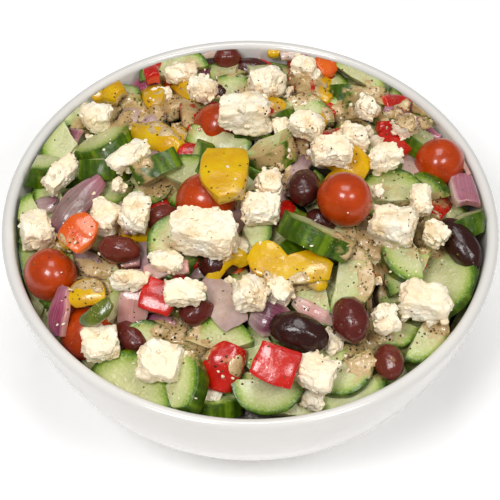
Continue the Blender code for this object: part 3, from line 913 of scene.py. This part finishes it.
MAGENTA = srgb(150, 50, 88)
PURPLE = srgb(112, 44, 74)
MAUVE = srgb(176, 112, 130)
GREY_MAUVE = srgb(186, 158, 156)
PALE = srgb(214, 190, 176)
PINK = srgb(214, 158, 150)
SMOKY = srgb(142, 112, 108)

# layer, path of (x, y, rise), widths, thickness, roll, bow, colours along the path, colour of the edges
ONIONS = (
    (1, ((-68, 20, 0), (-76, 9, 2), (-82, -2, 2), (-86, -11, 0)), (8, 13, 13, 9), 2.6, 0, 2.5,
     (MAUVE, SMOKY, SMOKY, PURPLE), MAUVE),
    (0, ((-79, -41, 2), (-81, -54, 4), (-80, -67, 1)), (6, 11, 5), 3, 25, 1, (MAUVE, MAGENTA, PURPLE), PINK),
    (1, ((-49, -39, 2), (-49, -50, 3), (-50, -60, 1)), (13, 13, 12), 3, 0, 0.5, (PALE, PINK, PINK), PALE),
    (1, ((-19, -36, 1), (-11, -48, 3), (-5, -60, 1)), (10, 15, 12), 2.4, 0, 2, (GREY_MAUVE, PALE, GREY_MAUVE),
     PALE),
    (1, ((96, 24, 1), (97, 16, 2), (98, 8, 1)), (13, 15, 13), 4, 0, 1, (MAUVE, MAUVE, MAUVE), PALE),
    (1, ((-57, 74, 1), (-51, 78, 3), (-44, 79, 1)), (9, 12, 8), 3, 0, 2, (MAUVE, MAGENTA, MAUVE), PINK),
    (2, ((-23, 84, 1), (-23, 88, 1), (-22, 92, 1)), (6, 7, 5), 3, 0, 1, (PURPLE, PURPLE, MAGENTA), MAUVE),
    (2, ((-27, 95, 0), (-20, 98, 1), (-13, 96, 0)), (3, 3.5, 3), 2.4, 30, 0.3, (PALE, PALE, PALE), PINK),
    (1, ((-18, 87, 1), (-11, 89, 2), (-4, 87, 1)), (9, 11, 8), 3, 0, 1.5, (MAUVE, MAUVE, PALE), PINK),
    (2, ((13, 99, 0), (19, 101, 1), (26, 99, 0)), (6, 8, 6), 3, 0, 1, (PALE, PALE, MAUVE), PALE),
    (1, ((61, 64, 1), (68, 61, 2), (78, 54, 2), (86, 47, 1)), (6, 7, 7, 5), 3, 20, 1,
     (MAUVE, MAUVE, MAGENTA, MAUVE), PINK),
    (2, ((70, 19, 1), (72, 28, 2), (73, 36, 1)), (8, 10, 8), 3, 0, 1.5, (GREY_MAUVE, PALE, GREY_MAUVE), PALE),
    (1, ((1, -52, 1), (9, -55, 3), (17, -60, 1)), (12, 17, 10), 2.6, 0, 3, (GREY_MAUVE, PURPLE, MAUVE), PALE),
    (1, ((19, -46, 1), (27, -52, 2), (36, -57, 1)), (6, 8, 6), 3, 15, 1, (PALE, PINK, PALE), PALE),
    (1, ((-46, -33, 1), (-37, -30, 2), (-27, -29, 1)), (7, 8, 6), 3, 0, 1, (PINK, PALE, PINK), PALE),
    (2, ((-89, 47, 0), (-84, 46, 0), (-79, 46, 0)), (4, 6, 8), 2.5, 0, 0.5, (GREY_MAUVE, PURPLE, MAUVE),
     PALE),
    (2, ((-43, -57, 0), (-37, -58, 1), (-31, -60, 0)), (5, 6, 5), 3, 0, 1, (MAGENTA, MAUVE, PINK), PINK),
    (2, ((-54, -17, 1), (-52, -24, 2), (-51, -30, 1)), (7, 9, 7), 3, 0, 1, (MAUVE, MAUVE, PINK), PINK),
    (2, ((-59, 51, 1), (-57, 57, 2), (-54, 65, 1)), (7, 9, 7), 3, 0, 1, (PINK, PALE, MAUVE), PALE),
    (2, ((-58, 6, 0), (-56, -2, 1), (-54, -11, 0)), (3, 4, 3), 2.4, 30, 0.3, (PALE, PALE, PINK), PALE),
    (2, ((54, -69, 0), (61, -70, 1), (67, -67, 0)), (3, 3.5, 3), 2.4, 30, 0.3, (PINK, MAUVE, PINK), PALE),
    (2, ((70, -77, 0), (80, -69, 1), (90, -60, 0)), (4, 6, 4), 2.6, 40, 0.3, (MAUVE, PURPLE, MAUVE), PALE),
    (2, ((94, 40, 0), (97, 33, 0), (100, 25, 0)), (4, 5, 4), 2.6, 30, 0.3, (PINK, PALE, PINK), PALE),
)

# x, y, size along, across and up, turn, rise
FETA_BITS = (
    (-78, 33, 12, 8, 7, 20, 2), (-43, 72, 10, 7, 6, 0, 2), (14, 52, 7, 11, 7, 10, 2), (5, 52, 9, 8, 7, 40, 2),
    (-5, -19, 10, 9, 7, 30, 2), (-16, -93, 10, 8, 6, 10, 1), (26, -96, 11, 9, 7, -20, 0),
    (35, -67, 8, 12, 7, 5, 1),
    (-69, 5, 9, 8, 6, 30, 3), (43, 45, 12, 9, 6, -20, 2), (52, 50, 8, 6, 5, 10, 2), (57, 44, 7, 6, 5, 50, 2),
    (63, 40, 6, 5, 5, 0, 2), (66, 34, 6, 5, 4, 30, 2), (55, 32, 7, 5, 5, -30, 2), (18, 14, 4, 4, 3, 0, 2),
    (57, 15, 5, 8, 4, 10, 2), (-60, 17, 4, 9, 4, -10, 2), (65, 26, 4, 4, 3, 0, 1), (57, 27, 4, 4, 3, 0, 1),
    (-70, 17, 4, 4, 3, 0, 2), (-73, 43, 3, 8, 3, 45, 2), (-58, 15, 5, 4, 3, 0, 1), (54, -17, 5, 3, 3, 20, 1),
    (55, -35, 4, 3, 3, 0, 1), (-9, -36, 4, 3, 3, 30, 1), (57, -78, 4, 4, 3, 0, 1), (17, 75, 7, 3, 3, 60, 1),
)

OLIVE_DARK = srgb(72, 28, 22)
OLIVE_BLACK = srgb(50, 20, 16)
OLIVE_RED = srgb(96, 34, 28)
OLIVE_BROWN = srgb(110, 44, 32)
OLIVE_TINTS = (OLIVE_BLACK, OLIVE_RED, OLIVE_BLACK, OLIVE_DARK, OLIVE_BROWN, OLIVE_DARK, OLIVE_RED, OLIVE_RED,
               OLIVE_BROWN, OLIVE_DARK)

# layer, x, y, length, diameter, turn, tilt, rise, colour
MORE_OLIVES = (
    (2, -39, -2, 15, 11, 30, 0, 0, OLIVE_BROWN), (2, -13, -25, 18, 13, 10, 10, -1, OLIVE_BLACK),
    (3, 31, -3, 14, 12, 0, 0, -2, OLIVE_DARK), (2, 57, 59, 14, 11, 20, 0, -1, OLIVE_DARK),
    (3, -16, 73, 14, 10, 0, 0, -2, OLIVE_DARK), (2, -12, 97, 14, 11, 10, 0, -1, OLIVE_BROWN),
    (2, -52, -27, 13, 11, 60, 0, -1, OLIVE_RED), (3, -73, 7, 12, 9, 70, 0, 0, OLIVE_RED),
    (2, -46, 74, 16, 9, 50, 0, -1, OLIVE_BLACK),
)

TOMATO_RED = srgb(186, 62, 3)
TOMATO_DEEP = srgb(156, 30, 4)
TOMATOES_DEEP = (6,)

# x, y, reach across and along, turn, thickness in the middle
DRESSING = (
    (-36, 59, 15, 15, 0, 1.6), (-60, 61, 9, 11, 0, 1.0), (22, 78, 12, 12, 20, 1.4), (43, 60, 12, 9, 0, 1.2),
    (23, 43, 9, 10, 0, 1.2), (54, 74, 9, 8, 0, 1.2), (78, 63, 11, 9, 30, 1.4), (50, -12, 12, 13, -30, 1.3),
    (79, -10, 9, 13, 0, 1.4), (53, -36, 6, 15, 0, 1.1), (-68, -34, 13, 10, -10, 1.5),
    (50, -62, 13, 12, 20, 1.1),
    (48, -75, 9, 10, 0, 1.4), (-31, -64, 11, 8, 0, 1.4), (13, 22, 7, 9, 0, 1.1), (-3, 10, 6, 6, 0, 1.0),
    (-84, -18, 6, 6, 0, 0.8), (-42, 15, 9, 6, 0, 1.0), (2, -38, 9, 8, 0, 1.1), (80, -60, 6, 5, 0, 1.0),
    (-5, -79, 3.5, 6, 0, 0.8), (30, 54, 7, 6, 0, 1.0), (-22, 76, 8, 6, 0, 1.0), (70, 0, 8, 9, 0, 1.1),
    (-50, 30, 5, 4, 0, 0.8), (-78, 52, 5, 4, 0, 0.8), (0, 76, 6, 5, 0, 0.9), (-20, -72, 6, 5, 0, 1.0),
    (22, -36, 6, 5, 0, 0.9), (-60, -8, 5, 7, 0, 0.8), (66, 60, 6, 5, 0, 0.9), (-28, -8, 6, 8, 0, 0.9),
)

# x, y, reach, strength of a thin film
FILMS = (
    (8, 36, 9, 1.0), (-37, -18, 8, 0.8), (25, -43, 8, 0.7), (-30, 91, 6, 0.9), (9, 64, 7, 0.8),
    (31, 74, 6, 0.9), (84, 9, 7, 0.8), (60, 15, 9, 0.5), (-63, -47, 6, 0.5), (-50, 12, 10, 0.6),
    (-9, 88, 7, 0.6), (72, 28, 7, 0.5),
)


# ---------------------------------------------------------------- putting the salad together

def tint_of(colours, edge):
    """Colour along a strip, with another colour at its two edges."""
    table = np.array(colours)

    def tint(share, across):
        along = spline(table, share)
        brim = (np.clip((np.abs(across) - 0.72) / 0.28, 0, 1) ** 2)[:, None]
        return np.clip(along * (1 - brim) + np.array(edge) * brim, 0, 1)

    return tint


BED_SPACING = 14.5
BED_REACH = 97.0
BED_DEPTH = -8.0
FAR_SIDE = 40.0
WALL_REACH = 90.0
WALL_DEPTH = -3


def bed_pieces(rng):
    """Loose vegetables of the layer below, all over the dome."""
    made = []
    colours = ("red", "yellow", "orange", "green")
    rows = int(2 * DOME_RADIUS / BED_SPACING) + 1
    for row in range(-rows, rows + 1):
        for column in range(-rows, rows + 1):
            x = (column + 0.5 * (row % 2)) * BED_SPACING + rng.uniform(-3, 3)
            y = row * BED_SPACING * 0.87 + rng.uniform(-3, 3)
            if math.hypot(x, y) > BED_REACH:
                continue
            depth = BED_DEPTH if y < FAR_SIDE else BED_DEPTH / 2
            place = Vector((x, y, dome_height(x, y) + depth))
            level = level_of(place)
            slope = dome_normal(x, y)
            lean_side = math.degrees(math.atan2(slope.y, slope.x))
            lean = math.degrees(math.acos(slope.z)) + rng.uniform(-12, 18)
            choice = rng.random()
            seed = rng.randrange(1000)
            if choice < 0.62:
                made.append(cucumber(level.x, level.y, rng.uniform(14, 19), rng.uniform(6, 9),
                                     rng.choice((90, 120, 150, 180)), rng.uniform(0, 360), lean_side, lean,
                                     depth, seed))
                continue
            angle = rng.uniform(0, math.pi)
            reach = rng.uniform(7, 12)
            way = (math.cos(angle) * reach, math.sin(angle) * reach)
            path = [(level.x + way[0] * k, level.y + way[1] * k, depth + 2 * (k == 0)) for k in (-1, 0, 1)]
            if choice < 0.82:
                kind = "pepper_" + rng.choice(colours)
                made.append(ribbon(kind, path, (9, 11, 8), 5, rng.uniform(-15, 15), 1.5, 0.4, 0.5, seed))
            else:
                tint = tint_of((MAUVE, GREY_MAUVE, PURPLE), PALE)
                made.append(ribbon("onion", path, (7, 10, 7), 2.6, rng.uniform(-20, 20), 2, 0.4, 0.5, seed,
                                   tint))
    return made


def wall_pieces(rng):
    """Cucumber pushed up against the wall all round, below what shows."""
    made = []
    for turn in range(0, 360, 10):
        angle = math.radians(turn + rng.uniform(-3, 3))
        x, y = WALL_REACH * math.cos(angle), WALL_REACH * math.sin(angle)
        place = Vector((x, y, dome_height(x, y) + WALL_DEPTH))
        level = level_of(place)
        made.append(cucumber(level.x, level.y, rng.uniform(13, 17), rng.uniform(6, 9),
                             rng.choice((90, 120, 150)), turn + rng.uniform(-60, 60), turn,
                             rng.uniform(5, 50), WALL_DEPTH, rng.randrange(1000)))
    return made


def shown_pieces():
    """The pieces of the tables, each with its layer."""
    made = []
    for seed, row in enumerate(CUCUMBERS):
        made.append((row[0], cucumber(*row[1:], seed)))
    for seed, (layer, colour, path, widths, thick, roll, bow, ends) in enumerate(PEPPERS):
        made.append((layer, ribbon("pepper_" + colour, path, widths, thick, roll, bow, 0.5 * ends, 0.6,
                                   seed + 60)))
    for seed, (layer, path, widths, thick, roll, bow, colours, edge) in enumerate(ONIONS):
        made.append((layer, ribbon("onion", path, widths, thick, roll, bow, 0.14, 0.7, seed + 120,
                                   tint_of(colours, edge))))
    for seed, row in enumerate(MORE_OLIVES):
        made.append((row[0], olive(*row[1:], seed + 30)))
    for seed, (x, y, long, broad, tall, turn, rise) in enumerate(FETA_BITS):
        made.append((1, feta_bit(x, y, (long, broad, tall), turn, rise, seed)))
    return made


def settle(rng):
    """Every piece of food in its final place."""
    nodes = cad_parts
    fixed = [feta_chunk(n) for n in nodes if n.startswith("feta_")]
    for chunk in list(fixed):
        fixed += feta_shards(chunk, rng)
    fixed += [tomato(n) for n in nodes if n.startswith("tomato_")]
    fixed += [olive_of(n) for n in nodes if n.startswith("olive_")]
    over_toppings, under = Layout(), Layout()
    for piece in fixed:
        over_toppings.add(piece.samples())
        under.add(piece.samples())
    placed = list(fixed)
    shown = sorted(shown_pieces(), key=lambda item: item[0])
    for layer, piece in shown:
        samples = piece.samples()[:len(piece.points)]
        piece.slide(over_toppings.lift(samples) if layer == 0 else under.tuck(samples))
        piece.keep_in_bowl()
        under.add(piece.samples())
        placed.append(piece)
    for piece in wall_pieces(rng) + bed_pieces(rng):
        piece.slide(under.tuck(piece.points, allow=0.05, most=14.0))
        piece.keep_in_bowl()
        placed.append(piece)
    return placed


def sauce_at(points):
    """How much dressing lies at each point, 0 to 1, from the patches and films."""
    plane = on_rim_level(points)
    amount = np.full(len(points), 0.12)
    for x, y, across, along, _, _ in DRESSING:
        far = np.hypot((plane[:, 0] - x) / (across + 4), (plane[:, 1] - y) / (along + 4))
        amount = np.maximum(amount, 0.85 * np.clip(1.35 - far, 0, 1))
    for x, y, reach, strength in FILMS:
        far = np.hypot(plane[:, 0] - x, plane[:, 1] - y) / reach
        amount = np.maximum(amount, strength * np.clip(1.5 - far, 0, 1))
    return amount


def assemble(name, pieces, material, replaced=()):
    """One object from the pieces of a kind, riding on the bowl, with the values that its material reads."""
    whole = bmesh.new()
    draft = bpy.data.meshes.new(name)
    for piece in pieces:
        for v, p in zip(piece.bm.verts, piece.points):
            v.co = p * MM
        piece.bm.to_mesh(draft)
        whole.from_mesh(draft)
    bmesh.ops.recalc_face_normals(whole, faces=whole.faces)
    bmesh.ops.triangulate(whole, faces=[f for f in whole.faces if len(f.verts) > 4])
    whole.to_mesh(draft)
    whole.free()
    points = np.concatenate([p.points for p in pieces])
    fill_attribute(draft, "sauce", "FLOAT", "value", sauce_at(points))
    fill_attribute(draft, "skin", "FLOAT", "value", np.concatenate([p.skin for p in pieces]))
    fill_attribute(draft, "spot", "FLOAT_VECTOR", "vector", np.concatenate([p.spot for p in pieces]))
    tints = [np.broadcast_to(np.array(p.tint, float), (len(p.points), 4)) for p in pieces]
    fill_attribute(draft, "tint", "FLOAT_COLOR", "color", np.concatenate(tints))
    draft.shade_smooth()
    if name in ("cucumber", "onion") or name.startswith(("pepper", "feta")):
        draft.set_sharp_from_angle(angle=math.radians(48))
    set_down(name, draft, material, replaced)


def set_down(name, mesh, material, replaced=()):
    """The finished mesh as an object that rides on the bowl, in the place of the replaced solids."""
    mesh.materials.append(material)
    made = bpy.data.objects.new(name, mesh)
    bpy.context.collection.objects.link(made)
    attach(made, "root")
    if replaced:
        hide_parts(*replaced)


def fill_attribute(mesh, name, kind, key, values):
    layer = mesh.attributes.new(name, kind, "POINT")
    layer.data.foreach_set(key, np.ascontiguousarray(values, np.float32).ravel())


def make_bowl(material):
    """The bowl turned from its profile: inner face, round lip, outer face, foot ring and recess."""
    lip = WALL_THICKNESS / 2
    profile = []
    inner = [math.radians(a) for a in np.linspace(0, 90, 40)]
    for angle in inner:
        r, z = wall_point(INNER_RADIUS, INNER_DEPTH, angle)
        if z < RIM - lip:
            profile.append((r, z))
    for angle in np.linspace(math.pi, 0, 14):
        profile.append((RIM_RADIUS - lip + lip * math.cos(angle), RIM - lip + lip * math.sin(angle)))
    for angle in reversed(inner):
        r, z = wall_point(RIM_RADIUS, RIM, angle)
        if z < RIM - lip * 1.4 and r > FOOT_RADIUS:
            profile.append((r, z))
    profile += [(FOOT_RADIUS, 0.5), (FOOT_RADIUS - 0.5, 0.0), (FOOT_RADIUS - FOOT_WIDTH + 0.5, 0.0),
                (FOOT_RADIUS - FOOT_WIDTH, 0.5), (FOOT_RADIUS - FOOT_WIDTH, FOOT_RECESS), (0.0, FOOT_RECESS)]
    bm = bmesh.new()
    ring = [bm.verts.new((r * MM, 0, z * MM)) for r, z in profile]
    edges = [bm.edges.new(pair) for pair in zip(ring, ring[1:])]
    bmesh.ops.spin(bm, geom=ring + edges, cent=(0, 0, 0), axis=(0, 0, 1), angle=2 * math.pi, steps=BOWL_STEPS,
                   use_merge=True)
    bmesh.ops.remove_doubles(bm, verts=bm.verts, dist=1e-6)
    bmesh.ops.recalc_face_normals(bm, faces=bm.faces)
    mesh = bpy.data.meshes.new("bowl_glazed")
    bm.to_mesh(mesh)
    bm.free()
    mesh.shade_smooth()
    mesh.set_sharp_from_angle(angle=math.radians(50))
    set_down("bowl_glazed", mesh, material, ["bowl"])


def make_core(material):
    """The inside of the heap, under the loose pieces: its near-black colour is the dark wet salad deep down,
    painted much darker as the shade in the deep gaps.
    """
    bm = bmesh.new()
    bmesh.ops.create_uvsphere(bm, u_segments=120, v_segments=80, radius=1.0)
    for v in bm.verts:
        share = math.hypot(v.co.x, v.co.y)
        r = share * (DOME_RADIUS - 6)
        if v.co.z >= -1e-6:
            z = dome_height(r, 0) - CORE_DEPTH
            z += 3.0 * noise.noise(Vector((v.co.x, v.co.y, 0)) * 11) + 2.0 * noise.noise(v.co * 26)
        else:
            z = 20.0 + (dome_height(r, 0) - CORE_DEPTH - 20.0) * share ** 6
        limit = float(inner_radius_at(np.array([z]))[0]) - 2.0
        squeeze = min(1.0, limit / max(r, 1e-6))
        flat = v.co.xy.normalized() * r * squeeze if share > 1e-6 else v.co.xy
        v.co = Vector((flat.x, flat.y, z)) * MM
    mesh = bpy.data.meshes.new("salad_core_painted_shade")
    bmesh.ops.recalc_face_normals(bm, faces=bm.faces)
    bm.to_mesh(mesh)
    bm.free()
    mesh.shade_smooth()
    set_down("salad_core_painted_shade", mesh, material, ["salad_heap"])


class Heap:
    """Everything placed so far, to be felt along the sight lines."""

    def __init__(self, pieces):
        points, faces, self.kinds, offset = [], [], [], 0
        for piece in pieces:
            points.append(piece.points)
            faces += [[v.index + offset for v in f.verts] for f in piece.bm.faces]
            self.kinds += [piece.kind] * len(piece.bm.faces)
            offset += len(piece.points)
        self.tree = BVHTree.FromPolygons(np.concatenate(points).tolist(), faces)

    def meet(self, x, y):
        """What the sight line through (x, y) meets: place, normal towards the eye, distance, kind."""
        way = (Vector((x, y, RIM)) - EYE).normalized()
        place, normal, face, distance = self.tree.ray_cast(EYE, way)
        if place is None:
            return None
        return place, normal if normal.dot(way) < 0 else -normal, distance, self.kinds[face]


POOL_STEP = 1.1
POOL_EDGE = 1.12
DROPS_AT = 4.0
TEARS_AT = 5.0
BRIDGES = 2.5
SINKS = 1.2
UNDER_BARE = 0.8
STAYS_BARE = ("feta_chunks", "feta_bits", "feta_crumbs", "tomatoes", "olives")


def sagging(field):
    """Distances along the sight lines, evened out within each surface but not across a drop."""
    level = field.copy()
    for _ in range(7):
        wide = np.pad(level, 1, mode="edge")
        middle = wide[1:-1, 1:-1]
        for near in (wide[:-2, 1:-1], wide[2:, 1:-1], wide[1:-1, :-2], wide[1:-1, 2:]):
            level = level + np.where(abs(near - middle) < DROPS_AT, near - middle, 0) / 6
        level = np.clip(level, field - BRIDGES, field + SINKS)
    return level


def pool(heap, x, y, across, along, turn, thick, seed):
    """Dressing over the pieces round (x, y): a blanket that fills small dips and thins out at its edge."""
    bm = bmesh.new()
    steps = max(8, round(2.2 * max(across, along) / POOL_STEP))
    bmesh.ops.create_grid(bm, x_segments=steps, y_segments=steps, size=1.0)
    cos_turn, sin_turn = math.cos(math.radians(turn)), math.sin(math.radians(turn))
    distance = np.zeros(len(bm.verts))
    ways, edge, bare = [], np.zeros(len(bm.verts)), np.zeros(len(bm.verts), bool)
    for i, v in enumerate(bm.verts):
        u, w = on_disc(v.co.x, v.co.y)
        plan = (x + (u * across * cos_turn - w * along * sin_turn) * 1.15,
                y + (u * across * sin_turn + w * along * cos_turn) * 1.15)
        met = heap.meet(*plan)
        distance[i] = met[2] if met else (resting_place(*plan) - EYE).length + 8
        bare[i] = bool(met) and met[3] in STAYS_BARE
        ways.append((Vector((*plan, RIM)) - EYE).normalized())
        edge[i] = math.hypot(u, w) + 0.34 * noise.noise(Vector((plan[0] / 5, plan[1] / 5, seed)))
    order = np.lexsort([np.round([v.co.x for v in bm.verts], 5), np.round([v.co.y for v in bm.verts], 5)])
    side = round(math.sqrt(len(order)))
    field = distance[order].reshape(side, side)
    smooth = np.empty(len(order))
    smooth[order] = sagging(field).ravel()
    cover = thick * np.clip(1.0 - np.clip(edge, 0, 2) ** 2.2 * 1.25, -1.4, 1.0) - 0.25
    depth = np.where(bare, np.maximum(smooth - cover, distance + UNDER_BARE), smooth - cover)
    points = np.array([EYE_POINT + np.array(way) * d for way, d in zip(ways, depth)])
    for v, p in zip(bm.verts, points):
        v.co = p
    beyond = {v for v, e in zip(bm.verts, edge) if e > POOL_EDGE}
    torn = [f for f in bm.faces
            if beyond.issuperset(f.verts) or max(e.calc_length() for e in f.edges) > TEARS_AT]
    bmesh.ops.delete(bm, geom=torn, context="FACES")
    bm.normal_update()
    if sum(f.normal.z for f in bm.faces) < 0:
        bmesh.ops.reverse_faces(bm, faces=bm.faces)
    bmesh.ops.solidify(bm, geom=bm.faces[:] + bm.edges[:] + bm.verts[:], thickness=1.6)
    points = wrinkled(points_of(bm), 3.0, 0.35, seed)
    piece = Morsel("dressing", bm, points, points)
    piece.keep_in_bowl(1.0)
    return piece


def scatter(heap, rng, count, kind, size, tints, squash, bias):
    """Small flakes or crumbs lying on what shows, more of them where the dressing is."""
    made = []
    while len(made) < count:
        angle, reach = rng.uniform(0, 2 * math.pi), 101 * math.sqrt(rng.random())
        x, y = reach * math.cos(angle), reach * math.sin(angle)
        place = np.array(resting_place(x, y))[None]
        if rng.random() > bias + (1 - bias) * float(sauce_at(place)[0]):
            continue
        met = heap.meet(x, y)
        if met is None or (met[3] in STAYS_BARE and rng.random() < 0.8):
            continue
        hit, normal = met[:2]
        bm, unit = ball(1)
        bulk = rng.uniform(*size)
        stretch = np.array([1, rng.uniform(0.45, 1.0), squash]) * bulk / 2
        turn = normal.to_track_quat("Z", "Y").to_matrix() @ Matrix.Rotation(rng.uniform(0, 6.28), 3, "Z")
        points = wrinkled(unit, 0.9, 0.35, rng.randrange(999)) * stretch
        points = points @ np.array(turn).T + np.array(hit + normal * bulk * squash * 0.25)
        made.append(Morsel(kind, bm, points, points, tint=rng.choice(tints)))
    return made


SLOTS = {"cucumber": "cucumber", "pepper_red": "red_pepper", "pepper_orange": "orange_pepper",
         "pepper_yellow": "yellow_pepper", "pepper_green": "green_pepper", "onion": "red_onion",
         "feta_chunks": "feta", "feta_bits": "feta", "feta_crumbs": "feta", "tomatoes": "tomato",
         "olives": "olive", "dressing": "dressing", "herb_flecks": "herbs"}
HERB_FLECKS = 800
LOOSE_CRUMBS = 110
HERBS = (srgb(88, 78, 32), srgb(112, 100, 44), srgb(62, 46, 24), srgb(120, 84, 44))


def salad_materials():
    feta = feta_material()
    return {
        "cucumber": cucumber_material(),
        "pepper_red": pepper_material("pepper_red", srgb(222, 90, 56), srgb(176, 14, 6),
                                      srgb(212, 34, 18), 0.2),
        "pepper_orange": pepper_material("pepper_orange", srgb(236, 150, 80), srgb(214, 78, 14),
                                         srgb(234, 112, 30), 0.6),
        "pepper_yellow": pepper_material("pepper_yellow", srgb(232, 202, 80), srgb(208, 152, 0),
                                         srgb(224, 184, 2), 0.3),
        "pepper_green": pepper_material("pepper_green", srgb(164, 166, 84), srgb(66, 80, 14),
                                        srgb(112, 122, 34), 0.5),
        "onion": tinted_material("onion", 0.18, 0.5, veins=0.14, grain=500, sauce=0.4, subsurface=0.25),
        "feta_chunks": feta, "feta_bits": feta, "feta_crumbs": feta,
        "tomatoes": tinted_material("tomato", 0.22, 0.4, grain=60, depth=0.00008, freckles_and_sheen_specks=0.35, sauce=0.2),
        "olives": tinted_material("olive", 0.20, 0.3, grain=300, depth=0.0011, sauce=0.3),
        "dressing": dressing_material(),
        "herb_flecks": tinted_material("herbs", 0.5, 0.1, grain=2500, depth=0.0002, sauce=0.0),
    }


def make_salad():
    rng = random.Random(SEED)
    placed = settle(rng)
    heap = Heap(placed)
    placed += [pool(heap, *row, seed) for seed, row in enumerate(DRESSING)]
    heap = Heap(placed)
    placed += scatter(heap, rng, HERB_FLECKS, "herb_flecks", (0.5, 1.4), HERBS, 0.3, 0.0)
    placed += scatter(heap, rng, LOOSE_CRUMBS, "feta_crumbs", (0.7, 2.2), (CREAM,), 0.7, 0.2)
    materials = salad_materials()
    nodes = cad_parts
    replaced = {kind: [n for n in nodes if n.startswith(word)]
                for kind, word in (("feta_chunks", "feta_"), ("tomatoes", "tomato_"), ("olives", "olive_"))}
    for kind, slot in SLOTS.items():
        pieces = [p for p in placed if p.kind == kind]
        assemble(kind, pieces, materials[kind], replaced.get(kind, ()))


# ---------------------------------------------------------------- floor, light and camera

def make_floor():
    bm = bmesh.new()
    bmesh.ops.create_grid(bm, x_segments=8, y_segments=8, size=3.0)
    mesh = bpy.data.meshes.new("floor")
    bm.to_mesh(mesh)
    bm.free()
    paint = Paint("floor", Roughness=0.9, Specular_IOR_Level=0.1)
    colour = paint.ramp(paint.mottle(2.0), (0.3, srgb(252, 252, 252)), (0.7, srgb(255, 255, 255)))
    paint.set(Base_Color=colour)
    paint.set(Emission_Color=(1, 1, 1, 1), Emission_Strength=0.16)
    mesh.materials.append(paint.material)
    floor = bpy.data.objects.new("floor", mesh)
    bpy.context.collection.objects.link(floor)


def make_light(name, direction, elevation, distance, size, watts):
    """A square soft light aimed at the salad; direction 0 is the diner's side, 90 the right."""
    data = bpy.data.lights.new(name, "AREA")
    data.size = size
    data.energy = watts
    light = bpy.data.objects.new(name, data)
    turn, up = math.radians(direction), math.radians(elevation)
    place = Vector((math.sin(turn) * math.cos(up), -math.cos(turn) * math.cos(up), math.sin(up))) * distance
    light.location = place + Vector((0, 0, RIM * MM))
    light.rotation_euler = place.to_track_quat("Z", "Y").to_euler()
    bpy.context.collection.objects.link(light)


def make_room():
    scene = bpy.context.scene
    scene.view_settings.view_transform = "Standard"
    world = bpy.data.worlds.new("studio")
    world.use_nodes = True
    world.node_tree.nodes["Background"].inputs["Color"].default_value = (1.0, 0.985, 0.965, 1.0)
    world.node_tree.nodes["Background"].inputs["Strength"].default_value = 0.19
    scene.world = world
    make_light("left_softbox", -31, 58, 1.1, 0.30, 5.8)
    make_light("right_softbox", 42, 54, 1.1, 0.28, 3.4)
    make_light("overhead_softbox", 180, 80, 1.2, 0.5, 4.4)
    data = bpy.data.cameras.new("camera")
    data.lens = EYE_LENS
    data.clip_start = 0.01
    camera = bpy.data.objects.new("camera", data)
    camera.location = EYE * MM
    turned = Matrix.Rotation(EYE_PITCH, 3, "X") @ Matrix.Rotation(EYE_ROLL, 3, "Z")
    camera.rotation_euler = turned.to_euler()
    bpy.context.collection.objects.link(camera)
    scene.camera = camera


make_bowl(glaze_material())
make_core(core_painted_shade_material())
make_salad()
make_floor()
make_room()
